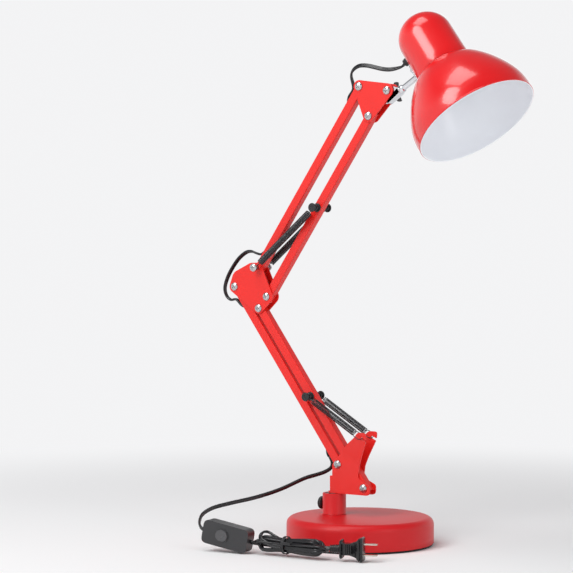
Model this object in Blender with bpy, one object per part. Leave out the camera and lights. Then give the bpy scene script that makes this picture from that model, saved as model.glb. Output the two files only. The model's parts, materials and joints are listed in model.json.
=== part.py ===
"""Architect desk lamp: weighted round base, sprung parallelogram arms, swivelling shade.

World frame: +Z up, +X from the arm towards the shade, origin at the centre of the underside.
The arm works in the plane Y = 0.  Each moving group hangs on an empty at its joint.
"""
import math

import bmesh
import bpy
from mathutils import Matrix, Vector

MM = 0.001
GAP = 0.3 * MM

# Base
BASE_RADIUS = 90.0 * MM
BASE_HEIGHT = 34.0 * MM
BASE_EDGE = 9.0 * MM
COVER_WALL = 1.2 * MM
PAD_THICKNESS = 2.0 * MM
TUBE_X = -37.5 * MM
TUBE_RADIUS = 14.5 * MM
TUBE_WALL = 3.0 * MM
TUBE_HEIGHT = 25.7 * MM
TUBE_FLOOR = 3.0 * MM
WEIGHT_THICKNESS = 14.0 * MM
STUD_RADIUS = 5.0 * MM
STUD_NUT_RADIUS = 9.0 * MM
STUD_NUT_HEIGHT = 5.0 * MM
SPINDLE_RADIUS = 6.0 * MM
KNOB_RADIUS = 7.8 * MM
KNOB_THICKNESS = 5.6 * MM
KNOB_DROP = 13.5 * MM
THUMB_SHANK_RADIUS = 2.5 * MM

# Arms: both pairs of bars have one length between their pivots
ARM_LENGTH = 267.0 * MM
LOWER_ANGLE = math.radians(125.7)
UPPER_ANGLE = math.radians(55.7)
BAR_WIDTH = 11.0 * MM
BAR_WALL = 1.0 * MM
BAR_TAIL = 6.0 * MM
SIDE_PLAY = 0.5 * MM
SHEET = 1.5 * MM
SLOT_START = 10.0 * MM
SLOT_END = 46.0 * MM
SLOT_WIDTH = 7.0 * MM
PIVOT_RADIUS = 2.0 * MM
HEAD_RADIUS = 5.0 * MM
HEAD_HEIGHT = 2.6 * MM
NUT_RADIUS = 4.0 * MM
NUT_HEIGHT = 3.4 * MM

# Springs and their posts
POST_DISTANCE = 134.0 * MM
SPRING_RADIUS = 4.3 * MM
SPRING_WIRE = 1.1 * MM
SPRING_OFFSET = 12.4 * MM
SPRING_NECK = 8.0 * MM
HOOK_SEAT = 10.4 * MM
SPOOL_RADIUS = 5.5 * MM
SPOOL_HUB = 3.2 * MM
SPOOL_FLANGE = 1.6 * MM
FLARE_SLOPE = math.tan(math.radians(9.0))

# Head
ROD_RADIUS = 3.5 * MM
ROD_ANGLE = math.radians(33.0)
ROD_DROP = 8.4 * MM
ROD_START = 11.5 * MM
SHADE_REACH = 75.4 * MM
SHADE_LEAN = math.radians(3.5)
SHADE_SWIVEL = math.radians(-5.7)
SHADE_WALL = 1.0 * MM
CAP_RADIUS = 33.4 * MM
CAP_TOP = 64.0 * MM
NECK_LEVEL = -14.4 * MM
RIM_DEPTH = 81.5 * MM
RIM_RADIUS = 75.0 * MM
HOLDER_RADIUS = 17.0 * MM
HOLDER_BORE = 13.6 * MM
HOLDER_FLANGE = 26.0 * MM

# Lead
CORD_RADIUS = 2.8 * MM
CORD_POINTS = 2.3 * CORD_RADIUS * 2.0
SWITCH_SIZE = Vector((60.0, 18.0, 28.0)) * MM
ROCKER_LENGTH = 15.5 * MM
ROCKER_HEIGHT = 13.5 * MM
SWITCH_YAW = math.radians(9.3)
SWITCH_TILT = math.radians(10.7)
GROMMET_LEVEL = 27.0 * MM
BELL_NECK = CAP_RADIUS + 0.6 * MM
# Up the outside of the bell, its height as a share of its depth and its radius as a share of
# the way from the neck to the rim
BELL_CURVE = [(1.0000, 0.0000), (0.9742, 0.0829), (0.9387, 0.1610), (0.8810, 0.2829),
              (0.8160, 0.3902), (0.7362, 0.5073), (0.6564, 0.6098), (0.5521, 0.7268),
              (0.4479, 0.8293), (0.3374, 0.9171), (0.2270, 0.9756), (0.1104, 1.0000)]

HANK_LENGTH = 104.0 * MM
HANK_WIDTH = 24.0 * MM
HANK_HEIGHT = 21.0 * MM
HANK_LIFT = 2.0 * MM
HANK_TURN = math.radians(2.5)
# The hank starts this far past the switch
HANK_SHIFT = (1.9 * MM, 3.5 * MM)
TIE_WALL = 1.2 * MM
TIE_WIDTH = 4.0 * MM
PLUG_YAW = math.radians(20.0)
PLUG_GAP = 1.3 * MM
PLUG_RELIEF = 12.0 * MM
PLUG_LENGTH = 28.0 * MM
BLADE_HEIGHT = 6.3 * MM
BLADE_REACH = 15.9 * MM
PLUG_WIDTH = 28.0 * MM
PLUG_HEIGHT = 20.0 * MM
BLADE_SPACING = 12.7 * MM

# Derived levels and pivots
TUBE_BASE = BASE_HEIGHT + GAP
TUBE_TOP = TUBE_BASE + TUBE_HEIGHT
BRACKET_FLOOR = TUBE_TOP + GAP
CHEEK_INNER = BAR_WIDTH / 2.0 + SIDE_PLAY
CHEEK_OUTER = CHEEK_INNER + SHEET
LOWER_REAR = Vector((TUBE_X + 9.5 * MM, 0.0, BRACKET_FLOOR + 35.7 * MM))
LOWER_SPAN = Vector((37.2, 0.0, -27.0)) * MM
UPPER_SPAN = Vector((13.5, 0.0, -36.4)) * MM
ELBOW_RISE = Vector((35.7, 0.0, 24.2)) * MM
TILT_REACH = Vector((39.6, 0.0, -6.7)) * MM
LOWER_DIR = Vector((math.cos(LOWER_ANGLE), 0.0, math.sin(LOWER_ANGLE)))
UPPER_DIR = Vector((math.cos(UPPER_ANGLE), 0.0, math.sin(UPPER_ANGLE)))
LOWER_FRONT = LOWER_REAR + LOWER_SPAN
ELBOW_REAR = LOWER_REAR + LOWER_DIR * ARM_LENGTH
ELBOW_LOW = ELBOW_REAR + LOWER_SPAN
ELBOW_TOP = ELBOW_REAR + ELBOW_RISE
ELBOW_FRONT = ELBOW_TOP + UPPER_SPAN
HEAD_REAR = ELBOW_TOP + UPPER_DIR * ARM_LENGTH
HEAD_LOW = HEAD_REAR + UPPER_SPAN
TILT_PIVOT = HEAD_REAR + TILT_REACH
ROD_DIR = Vector((math.cos(ROD_ANGLE), 0.0, math.sin(ROD_ANGLE)))
ROD_NORMAL = Vector((math.sin(ROD_ANGLE), 0.0, -math.cos(ROD_ANGLE)))
ROD_FOOT = TILT_PIVOT + ROD_NORMAL * ROD_DROP
SHADE_CENTRE = ROD_FOOT + ROD_DIR * SHADE_REACH
HOOK_POINT = LOWER_REAR + Vector((37.9, 0.0, 34.3)) * MM


# ---------------------------------------------------------------- drawing tools
def clear_scene():
    for obj in list(bpy.data.objects):
        bpy.data.objects.remove(obj, do_unlink=True)


def finish_material(name, colour, roughness, metallic):
    material = bpy.data.materials.new(name)
    material.use_nodes = True
    shader = material.node_tree.nodes["Principled BSDF"]
    shader.inputs["Base Color"].default_value = (*colour, 1.0)
    shader.inputs["Roughness"].default_value = roughness
    shader.inputs["Metallic"].default_value = metallic
    return material


def joint_frame(name, origin, parent=None):
    frame = bpy.data.objects.new(name, None)
    bpy.context.scene.collection.objects.link(frame)
    frame["origin"] = tuple(origin)
    frame.parent = parent
    start = Vector(parent["origin"]) if parent else Vector((0.0, 0.0, 0.0))
    frame.location = origin - start
    return frame


def add_piece(name, bm, material, frame, origin, rotation=None):
    """Turn a bmesh into the named piece, its origin at a world point, riding on a joint frame."""
    bmesh.ops.remove_doubles(bm, verts=bm.verts, dist=1e-7)
    bmesh.ops.recalc_face_normals(bm, faces=bm.faces)
    mesh = bpy.data.meshes.new(name)
    bm.to_mesh(mesh)
    bm.free()
    mesh.shade_smooth()
    mesh.set_sharp_from_angle(angle=math.radians(35.0))
    mesh.materials.append(material)
    obj = bpy.data.objects.new(name, mesh)
    bpy.context.scene.collection.objects.link(obj)
    obj.parent = frame
    start = Vector(frame["origin"]) if frame else Vector((0.0, 0.0, 0.0))
    obj.location = origin - start
    if rotation is not None:
        obj.rotation_euler = rotation.to_euler()
    return obj


def cut(obj, bm, origin, rotation=None, operation="DIFFERENCE"):
    """Cut, or join, a hidden tool at a world point out of, or to, a piece."""
    tool = add_piece(obj.name + "_tool", bm, obj.data.materials[0], None, origin, rotation)
    tool.hide_render = True
    tool.display_type = "WIRE"
    modifier = obj.modifiers.new(operation.lower(), "BOOLEAN")
    modifier.operation = operation
    modifier.solver = "EXACT"
    modifier.object = tool
    return obj


def circle(x, z, radius, count):
    step = 2.0 * math.pi / count
    return [(x + radius * math.cos(i * step), z + radius * math.sin(i * step)) for i in range(count)]


def rounded(corners, steps=4):
    """A closed outline from (x, z, radius) corners, each corner turned into an arc."""
    outline = []
    for index, (x, z, radius) in enumerate(corners):
        here = Vector((x, z))
        before = Vector(corners[index - 1][:2]) - here
        after = Vector(corners[(index + 1) % len(corners)][:2]) - here
        angle = before.angle(after)
        reach = min(radius / math.tan(angle / 2.0), 0.48 * before.length, 0.48 * after.length)
        start = here + before.normalized() * reach
        end = here + after.normalized() * reach
        for step in range(steps + 1):
            t = step / steps
            point = start * (1.0 - t) ** 2 + here * 2.0 * t * (1.0 - t) + end * t ** 2
            outline.append((point.x, point.y))
    return outline


def hull(circles, count=24):
    """The taut outline around circles given as (x, z, radius), counter-clockwise."""
    points = sorted({p for x, z, r in circles for p in circle(x, z, r, count)})
    chains = []
    for ordered in (points, points[::-1]):
        chain = []
        for p in ordered:
            while len(chain) > 1:
                a, b = chain[-2], chain[-1]
                if (b[0] - a[0]) * (p[1] - a[1]) > (b[1] - a[1]) * (p[0] - a[0]):
                    break
                chain.pop()
            chain.append(p)
        chains += chain[:-1]
    return chains


def plate(loops, near, far):
    """An outline in X and Z, with the other loops as holes, made solid from Y near to Y far."""
    bm = bmesh.new()
    edges = []
    for loop in loops:
        verts = [bm.verts.new((x, near, z)) for x, z in loop]
        for a, b in zip(verts, verts[1:] + verts[:1]):
            edges.append(bm.edges.new((a, b)))
    bmesh.ops.triangle_fill(bm, edges=edges, use_beauty=True)
    grown = bmesh.ops.extrude_face_region(bm, geom=bm.faces[:])
    moved = [part for part in grown["geom"] if isinstance(part, bmesh.types.BMVert)]
    bmesh.ops.translate(bm, verts=moved, vec=(0.0, far - near, 0.0))
    return bm


def turned(profile, segments):
    """A solid of revolution about Z from a closed run of (radius, z) points."""
    bm = bmesh.new()
    verts = [bm.verts.new((radius, 0.0, z)) for radius, z in profile]
    pairs = list(zip(verts, verts[1:]))
    if profile[0][0] > 0.0 or profile[-1][0] > 0.0:
        pairs.append((verts[-1], verts[0]))
    edges = [bm.edges.new(pair) for pair in pairs]
    bmesh.ops.spin(bm, geom=verts + edges, axis=(0.0, 0.0, 1.0), cent=(0.0, 0.0, 0.0),
                   angle=2.0 * math.pi, steps=segments, use_merge=True)
    return bm


def cylinder(radius, start, end, segments=16):
    return turned([(0.0, start), (radius, start), (radius, end), (0.0, end)], segments)


def block(size, centre=(0.0, 0.0, 0.0)):
    bm = bmesh.new()
    bmesh.ops.create_cube(bm, size=1.0)
    bmesh.ops.scale(bm, vec=size, verts=bm.verts)
    bmesh.ops.translate(bm, vec=centre, verts=bm.verts)
    return bm


def soft_block(size, radius, segments=2):
    bm = block(size)
    bmesh.ops.bevel(bm, geom=bm.edges[:], offset=radius, segments=segments, profile=0.5,
                    affect="EDGES", material=-1)
    return bm


def towards(direction):
    """The rotation that turns +Z to a direction, keeping +Y as near to Y as it can."""
    z_axis = Vector(direction).normalized()
    x_axis = Vector((0.0, 1.0, 0.0)).cross(z_axis).normalized()
    y_axis = z_axis.cross(x_axis)
    return Matrix((x_axis, y_axis, z_axis)).transposed()


def smooth_route(points, spacing):
    """Even steps along a smooth curve through the route's own points."""
    pts = [Vector(p) for p in points]
    pts = [2.0 * pts[0] - pts[1]] + pts + [2.0 * pts[-1] - pts[-2]]
    dense = []
    for a, b, c, d in zip(pts, pts[1:], pts[2:], pts[3:]):
        for step in range(24):
            t = step / 24.0
            dense.append(0.5 * (2.0 * b + (c - a) * t + (2.0 * a - 5.0 * b + 4.0 * c - d) * t ** 2
                                + (3.0 * b - a - 3.0 * c + d) * t ** 3))
    dense.append(pts[-2])
    lengths = [0.0]
    for a, b in zip(dense, dense[1:]):
        lengths.append(lengths[-1] + (b - a).length)
    count = max(2, round(lengths[-1] / spacing))
    route, index = [], 0
    for step in range(count + 1):
        wanted = lengths[-1] * step / count
        while index < len(dense) - 2 and lengths[index + 1] < wanted:
            index += 1
        share = (wanted - lengths[index]) / (lengths[index + 1] - lengths[index])
        route.append(dense[index].lerp(dense[index + 1], min(1.0, share)))
    return route


def cord(name, points, material, frame, origin):
    """A plain round tube along a route of world points."""
    curve = bpy.data.curves.new(name, "CURVE")
    curve.dimensions = "3D"
    curve.bevel_depth = CORD_RADIUS
    curve.bevel_resolution = 2
    curve.use_fill_caps = True
    spline = curve.splines.new("POLY")
    route = smooth_route(points, CORD_POINTS)
    spline.points.add(len(route) - 1)
    for point, place in zip(spline.points, route):
        point.co = (*(place - origin), 1.0)
    curve.materials.append(material)
    obj = bpy.data.objects.new(name, curve)
    bpy.context.scene.collection.objects.link(obj)
    obj.parent = frame
    start = Vector(frame["origin"]) if frame else Vector((0.0, 0.0, 0.0))
    obj.location = origin - start
    return obj


# ---------------------------------------------------------------- the lamp
clear_scene()
RED = finish_material("red_paint", (0.62, 0.02, 0.015), 0.35, 0.0)
WHITE = finish_material("white_enamel", (0.88, 0.88, 0.9), 0.4, 0.0)
BLACK = finish_material("black_plastic", (0.02, 0.02, 0.022), 0.5, 0.0)
RUBBER = finish_material("black_rubber", (0.015, 0.015, 0.015), 0.85, 0.0)
IRON = finish_material("cast_iron", (0.12, 0.12, 0.12), 0.7, 0.8)
CHROME = finish_material("bright_steel", (0.75, 0.76, 0.78), 0.2, 1.0)
BRASS = finish_material("brass", (0.75, 0.55, 0.25), 0.3, 1.0)
SPRING_STEEL = finish_material("blackened_steel", (0.05, 0.05, 0.05), 0.4, 0.9)

swivel = joint_frame("swivel_axis", Vector((TUBE_X, 0.0, BRACKET_FLOOR)))
lower_rear = joint_frame("lower_rear_axis", LOWER_REAR, swivel)
lower_front = joint_frame("lower_front_axis", LOWER_FRONT, swivel)
elbow = joint_frame("elbow_axis", ELBOW_REAR, lower_rear)
upper_rear = joint_frame("upper_rear_axis", ELBOW_TOP, elbow)
upper_front = joint_frame("upper_front_axis", ELBOW_FRONT, elbow)
head = joint_frame("head_axis", HEAD_REAR, upper_rear)
tilt = joint_frame("tilt_axis", TILT_PIVOT, head)
shade = joint_frame("shade_axis", SHADE_CENTRE, tilt)
ORIGIN = Vector((0.0, 0.0, 0.0))


def make_base():
    cover_foot = PAD_THICKNESS + GAP
    wall_top = BASE_HEIGHT - BASE_EDGE
    flat_radius = BASE_RADIUS - BASE_EDGE
    outer = [(BASE_RADIUS, cover_foot)]
    inner = [(BASE_RADIUS - COVER_WALL, cover_foot)]
    for step in range(7):
        angle = math.radians(15.0 * step)
        for run, radius in ((outer, BASE_EDGE), (inner, BASE_EDGE - COVER_WALL)):
            run.append((flat_radius + radius * math.cos(angle), wall_top + radius * math.sin(angle)))
    stud_hole = STUD_RADIUS + GAP
    cover = outer + [(0.0, BASE_HEIGHT), (0.0, BASE_HEIGHT - COVER_WALL)] + inner[::-1]
    cover = add_piece("base_cover", turned(cover, 56), RED, None, ORIGIN)
    stud_cut = cylinder(stud_hole, 0.0, BASE_HEIGHT + COVER_WALL, 20)
    cut(cover, stud_cut, Vector((TUBE_X, 0.0, 0.0)))

    weight_radius = BASE_RADIUS - COVER_WALL - MM
    weight_top = BASE_HEIGHT - COVER_WALL - GAP
    weight_low = weight_top - WEIGHT_THICKNESS
    fillet_foot = weight_top - BASE_EDGE + COVER_WALL
    weight = turned([(0.0, weight_low), (weight_radius, weight_low), (weight_radius, fillet_foot),
                     (flat_radius, weight_top), (0.0, weight_top)], 48)
    weight = add_piece("base_weight", weight, IRON, None, ORIGIN)
    cut(weight, cylinder(stud_hole, 0.0, BASE_HEIGHT, 20), Vector((TUBE_X, 0.0, 0.0)))

    pad_radius = BASE_RADIUS - 1.5 * MM
    pad = turned([(0.0, 0.0), (pad_radius - 0.5 * MM, 0.0), (pad_radius, 0.5 * MM),
                  (pad_radius, PAD_THICKNESS), (0.0, PAD_THICKNESS)], 56)
    add_piece("base_pad", pad, RUBBER, None, ORIGIN)

    bore = TUBE_RADIUS - TUBE_WALL
    tube_floor = TUBE_BASE + TUBE_FLOOR
    nut_top = weight_low - GAP
    nut_low = nut_top - STUD_NUT_HEIGHT
    stud_end = nut_low - MM
    tube = turned([(0.0, stud_end), (STUD_RADIUS, stud_end), (STUD_RADIUS, TUBE_BASE),
                   (TUBE_RADIUS, TUBE_BASE), (TUBE_RADIUS, TUBE_TOP - 0.5 * MM),
                   (TUBE_RADIUS - 0.5 * MM, TUBE_TOP), (bore, TUBE_TOP), (bore, tube_floor),
                   (0.0, tube_floor)], 32)
    tube = add_piece("base_tube", tube, RED, None, Vector((TUBE_X, 0.0, 0.0)))
    nut = turned([(STUD_RADIUS + GAP, nut_low), (STUD_NUT_RADIUS, nut_low),
                  (STUD_NUT_RADIUS, nut_top), (STUD_RADIUS + GAP, nut_top)], 24)
    add_piece("base_stud_nut", nut, CHROME, None, Vector((TUBE_X, 0.0, 0.0)))

    sleeve_low = tube_floor + GAP
    sleeve_bore = SPINDLE_RADIUS + GAP
    sleeve = turned([(sleeve_bore, sleeve_low), (bore - GAP, sleeve_low), (bore - GAP, TUBE_TOP - GAP),
                     (sleeve_bore, TUBE_TOP - GAP)], 24)
    sleeve = add_piece("tube_sleeve", sleeve, BLACK, None, Vector((TUBE_X, 0.0, 0.0)))

    knob_level = TUBE_TOP - KNOB_DROP
    screw_point = Vector((TUBE_X, 0.0, knob_level))
    outward = towards((-1.0, 0.0, 0.0))
    shank_start = SPINDLE_RADIUS + GAP
    knob_start = TUBE_RADIUS + GAP
    knob_end = knob_start + KNOB_THICKNESS
    screw = turned([(0.0, shank_start), (THUMB_SHANK_RADIUS, shank_start), (THUMB_SHANK_RADIUS, knob_start),
                    (KNOB_RADIUS - MM, knob_start), (KNOB_RADIUS, knob_start + MM),
                    (KNOB_RADIUS, knob_end - MM), (KNOB_RADIUS - MM, knob_end), (0.0, knob_end)], 24)
    add_piece("thumb_screw", screw, BLACK, None, screw_point, outward)
    for piece in (tube, sleeve):
        hole = cylinder(THUMB_SHANK_RADIUS + GAP, SPINDLE_RADIUS / 2.0, knob_end, 16)
        cut(piece, hole, screw_point, outward)


def cheek(side):
    """One flared cheek of the bracket, as a bmesh about the lower rear pivot."""
    floor = BRACKET_FLOOR - LOWER_REAR.z
    lobe_x = LOWER_SPAN.x + 9.2 * MM
    hook = HOOK_POINT - LOWER_REAR
    mouth = Vector((0.888, -0.459))
    across = Vector((0.459, 0.888))
    notch = Vector((hook.x, hook.z))
    low_in = notch - across * 1.4 * MM - mouth * 1.0 * MM
    low_out = notch - across * 1.4 * MM + mouth * 7.0 * MM
    high_in = notch + across * 1.4 * MM - mouth * 1.0 * MM
    high_out = notch + across * 1.4 * MM + mouth * 6.2 * MM
    corners = [
        (-11.2 * MM, floor, 0.5 * MM), (lobe_x, floor, 8.4 * MM),
        (lobe_x, LOWER_SPAN.z + 3.5 * MM, 5.0 * MM), (LOWER_SPAN.x - 8.2 * MM, -15.5 * MM, 7.0 * MM),
        (LOWER_SPAN.x - 6.0 * MM, -1.0 * MM, 6.0 * MM), (hook.x - 2.6 * MM, hook.z - 23.5 * MM, 8.0 * MM),
        (low_out.x, low_out.y, 0.7 * MM), (low_in.x, low_in.y, 1.2 * MM),
        (high_in.x, high_in.y, 1.2 * MM), (high_out.x, high_out.y, 0.8 * MM),
        (hook.x + 6.6 * MM, hook.z + 6.8 * MM, 5.5 * MM), (hook.x - 5.4 * MM, hook.z + 6.8 * MM, 6.0 * MM),
        (hook.x - 12.6 * MM, hook.z - 0.8 * MM, 4.0 * MM), (15.0 * MM, 25.7 * MM, 9.0 * MM),
        (-7.8 * MM, -0.2 * MM, 5.0 * MM), (-7.8 * MM, -14.3 * MM, 0.8 * MM),
        (-11.2 * MM, -14.3 * MM, 0.8 * MM),
    ]
    holes = [circle(0.0, 0.0, PIVOT_RADIUS + GAP, 14),
             circle(LOWER_SPAN.x, LOWER_SPAN.z, PIVOT_RADIUS + GAP, 14)]
    bm = plate([rounded(corners)] + holes, side * CHEEK_INNER, side * CHEEK_OUTER)
    lean = Vector((0.46, 0.0, 0.888)).normalized()
    start = Vector((LOWER_SPAN.x - 4.0 * MM, 0.0, 0.0))
    bmesh.ops.bisect_plane(bm, geom=bm.verts[:] + bm.edges[:] + bm.faces[:], dist=1e-7,
                           plane_co=start, plane_no=lean)
    for vert in bm.verts:
        beyond = (vert.co - start).dot(lean)
        vert.co.y += side * FLARE_SLOPE * max(0.0, beyond)
    return bm


def make_bracket():
    web_top = SHEET + 0.5 * MM
    bracket = add_piece("base_bracket", cheek(-1.0), RED, swivel, LOWER_REAR)
    cut(bracket, cheek(1.0), LOWER_REAR, operation="UNION")
    floor_strip = block((19.0 * MM, 2.0 * CHEEK_INNER + SHEET, web_top),
                        (9.5 * MM - 1.5 * MM, 0.0, web_top / 2.0))
    cut(bracket, floor_strip, Vector((TUBE_X, 0.0, BRACKET_FLOOR)), operation="UNION")
    rear_tab = turned([(0.0, 0.0), (7.5 * MM, 0.0), (7.5 * MM, web_top), (0.0, web_top)], 28)
    cut(bracket, rear_tab, Vector((TUBE_X, 0.0, BRACKET_FLOOR)), operation="UNION")
    rivet_neck = 3.0 * MM
    neck_hole = cylinder(rivet_neck + GAP, -MM, web_top + MM, 20)
    cut(bracket, neck_hole, Vector((TUBE_X, 0.0, BRACKET_FLOOR)))
    foot = TUBE_BASE + TUBE_FLOOR + 2.0 * GAP - BRACKET_FLOOR
    head_base = web_top + GAP
    spindle = turned([(0.0, foot), (SPINDLE_RADIUS - MM, foot), (SPINDLE_RADIUS, foot + MM),
                      (SPINDLE_RADIUS, -GAP), (rivet_neck, -GAP), (rivet_neck, head_base),
                      (4.6 * MM, head_base), (3.0 * MM, head_base + 2.2 * MM),
                      (0.0, head_base + 2.4 * MM)], 24)
    add_piece("spindle", spindle, CHROME, swivel, Vector((TUBE_X, 0.0, BRACKET_FLOOR)))


def make_bar(name, frame, pivot, angle, rear_slots, post):
    """A square tube from pivot to pivot, bored for its screws, slotted for the lead or bored for a post."""
    half = BAR_WIDTH / 2.0
    inner = half - BAR_WALL
    outer_loop = [(-half, -half), (half, -half), (half, half), (-half, half)]
    inner_loop = [(-inner, -inner), (inner, -inner), (inner, inner), (-inner, inner)]
    bm = plate([outer_loop, inner_loop], -BAR_TAIL, ARM_LENGTH + BAR_TAIL)
    bmesh.ops.rotate(bm, verts=bm.verts, matrix=Matrix.Rotation(math.radians(-90.0), 3, "Z"))
    along = Matrix.Rotation(-angle, 3, "Y")
    bar = add_piece(name, bm, RED, frame, pivot, along)
    bores = [0.0, ARM_LENGTH] + ([POST_DISTANCE] if post else [])
    sideways = Matrix.Rotation(math.radians(-90.0), 3, "X")
    for distance in bores:
        place = pivot + along @ Vector((distance, 0.0, 0.0))
        cut(bar, cylinder(PIVOT_RADIUS + GAP, -BAR_WIDTH, BAR_WIDTH, 14), place, sideways)
    if rear_slots:
        length = SLOT_END - SLOT_START
        for start in (SLOT_START, ARM_LENGTH - SLOT_END):
            slot = block((length, SLOT_WIDTH, BAR_WIDTH / 2.0), (start + length / 2.0, 0.0, half))
            cut(bar, slot, pivot, along)
    return bar


def make_screw(name, frame, pivot, reach=None):
    """A pivot screw with its lock nut: head on the near side, nut on the far side."""
    reach = reach or CHEEK_OUTER + GAP
    profile = [(0.0, reach + NUT_HEIGHT + 1.2 * MM), (PIVOT_RADIUS, reach + NUT_HEIGHT + 0.8 * MM),
               (PIVOT_RADIUS, reach + NUT_HEIGHT), (NUT_RADIUS, reach + NUT_HEIGHT), (NUT_RADIUS, reach),
               (PIVOT_RADIUS, reach), (PIVOT_RADIUS, -reach), (HEAD_RADIUS, -reach),
               (HEAD_RADIUS - 0.3 * MM, -reach - 0.4 * HEAD_HEIGHT),
               (0.6 * HEAD_RADIUS, -reach - 0.9 * HEAD_HEIGHT), (0.0, -reach - HEAD_HEIGHT)]
    sideways = Matrix.Rotation(math.radians(-90.0), 3, "X")
    add_piece(name, turned(profile, 18), CHROME, frame, pivot, sideways)


def make_side_plates(stem, circles, holes, frame, pivot):
    """A near and a far plate: the taut outline around circles, bored for the pivot screws."""
    loops = [hull([(x * MM, z * MM, r * MM) for x, z, r in circles])]
    loops += [circle(hole.x, hole.z, PIVOT_RADIUS + GAP, 14) for hole in holes]
    for side, near, far in (("near", -CHEEK_OUTER, -CHEEK_INNER), ("far", CHEEK_INNER, CHEEK_OUTER)):
        add_piece(stem + "_" + side, plate(loops, near, far), RED, frame, pivot)


def make_arms():
    make_bar("lower_bar_rear", lower_rear, LOWER_REAR, LOWER_ANGLE, True, False)
    make_bar("lower_bar_front", lower_front, LOWER_FRONT, LOWER_ANGLE, False, True)
    make_bar("upper_bar_rear", upper_rear, ELBOW_TOP, UPPER_ANGLE, True, False)
    make_bar("upper_bar_front", upper_front, ELBOW_FRONT, UPPER_ANGLE, False, True)

    rise = ELBOW_RISE / MM
    low = LOWER_SPAN / MM
    front = (ELBOW_RISE + UPPER_SPAN) / MM
    elbow_circles = [(0.0, 0.0, 7.8), (8.0, 9.0, 12.2), (27.0, 20.5, 9.8), (rise.x, rise.z, 6.2),
                     (front.x, front.z, 9.2), (low.x, low.z, 7.0)]
    elbow_holes = [Vector((0.0, 0.0, 0.0)), ELBOW_RISE, ELBOW_RISE + UPPER_SPAN, LOWER_SPAN]
    make_side_plates("elbow_plate", elbow_circles, elbow_holes, elbow, ELBOW_REAR)

    down = UPPER_SPAN / MM
    out = TILT_REACH / MM
    head_circles = [(0.0, 0.0, 7.6), (out.x, out.z, 8.6), (down.x, down.z, 7.4)]
    head_holes = [Vector((0.0, 0.0, 0.0)), TILT_REACH, UPPER_SPAN]
    make_side_plates("head_plate", head_circles, head_holes, head, HEAD_REAR)

    make_screw("screw_lower_rear", swivel, LOWER_REAR)
    make_screw("screw_lower_front", swivel, LOWER_FRONT)
    make_screw("screw_elbow_rear", elbow, ELBOW_REAR)
    make_screw("screw_elbow_low", elbow, ELBOW_LOW)
    make_screw("screw_elbow_top", elbow, ELBOW_TOP, SPRING_OFFSET + SPRING_RADIUS)
    make_screw("screw_elbow_front", elbow, ELBOW_FRONT)
    make_screw("screw_head_rear", head, HEAD_REAR)
    make_screw("screw_head_low", head, HEAD_LOW)


def make_spring(name, frame, fixed, moving, side, fixed_hub, moving_hub):
    """The plain outer shape of one extension spring, hub to hub, with thin ends for its loops."""
    line = moving - fixed
    start = fixed_hub + GAP
    end = line.length - moving_hub - GAP
    profile = [(0.0, start), (SPRING_WIRE, start), (SPRING_WIRE, start + SPRING_NECK),
               (SPRING_RADIUS, start + SPRING_NECK), (SPRING_RADIUS, end - SPRING_NECK),
               (SPRING_WIRE, end - SPRING_NECK), (SPRING_WIRE, end), (0.0, end)]
    place = fixed + Vector((0.0, side * SPRING_OFFSET, 0.0))
    add_piece(name, turned(profile, 14), SPRING_STEEL, frame, place, towards(line))


def turned_closed(profile):
    """A turned solid whose profile touches the axis part of the way round."""
    bm = bmesh.new()
    verts = [bm.verts.new((radius, 0.0, z)) for radius, z in profile]
    edges = []
    for a, b in zip(verts, verts[1:] + verts[:1]):
        if a.co.x > 0.0 or b.co.x > 0.0:
            edges.append(bm.edges.new((a, b)))
    bmesh.ops.spin(bm, geom=verts + edges, axis=(0.0, 0.0, 1.0), cent=(0.0, 0.0, 0.0),
                   angle=2.0 * math.pi, steps=20, use_merge=True)
    return bm


def make_spool(name, frame, post, side):
    """A black spool that keeps one spring's loop on the post."""
    inner = BAR_WIDTH / 2.0 + GAP
    outer = SPRING_OFFSET + SPRING_RADIUS + SPOOL_FLANGE
    bore = PIVOT_RADIUS + GAP
    bore_end = outer - SPOOL_FLANGE
    profile = [(bore, inner), (SPOOL_RADIUS, inner), (SPOOL_RADIUS, inner + SPOOL_FLANGE),
               (SPOOL_HUB, inner + SPOOL_FLANGE), (SPOOL_HUB, outer - SPOOL_FLANGE),
               (SPOOL_RADIUS, outer - SPOOL_FLANGE), (SPOOL_RADIUS, outer - 0.5 * MM),
               (SPOOL_RADIUS - 0.5 * MM, outer), (0.0, outer), (0.0, bore_end), (bore, bore_end)]
    outward = Matrix.Rotation(math.radians(-90.0 * side), 3, "X")
    add_piece(name, turned_closed(profile), BLACK, frame, post, outward)


def make_springs():
    lower_post = LOWER_FRONT + LOWER_DIR * POST_DISTANCE
    upper_post = ELBOW_FRONT + UPPER_DIR * POST_DISTANCE
    pin_reach = SPRING_OFFSET + SPRING_RADIUS - GAP
    sideways = Matrix.Rotation(math.radians(-90.0), 3, "X")
    for arm, frame, post in (("lower", lower_front, lower_post), ("upper", upper_front, upper_post)):
        pin = cylinder(PIVOT_RADIUS, -pin_reach, pin_reach, 14)
        add_piece("spring_post_" + arm, pin, CHROME, frame, post, sideways)
        for side, word in ((-1.0, "near"), (1.0, "far")):
            make_spool("spool_" + arm + "_" + word, frame, post, side)
    for side, word in ((-1.0, "near"), (1.0, "far")):
        make_spring("spring_lower_" + word, swivel, HOOK_POINT, lower_post, side, HOOK_SEAT, SPOOL_HUB)
        make_spring("spring_upper_" + word, elbow, ELBOW_TOP, upper_post, side, PIVOT_RADIUS, SPOOL_HUB)


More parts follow.
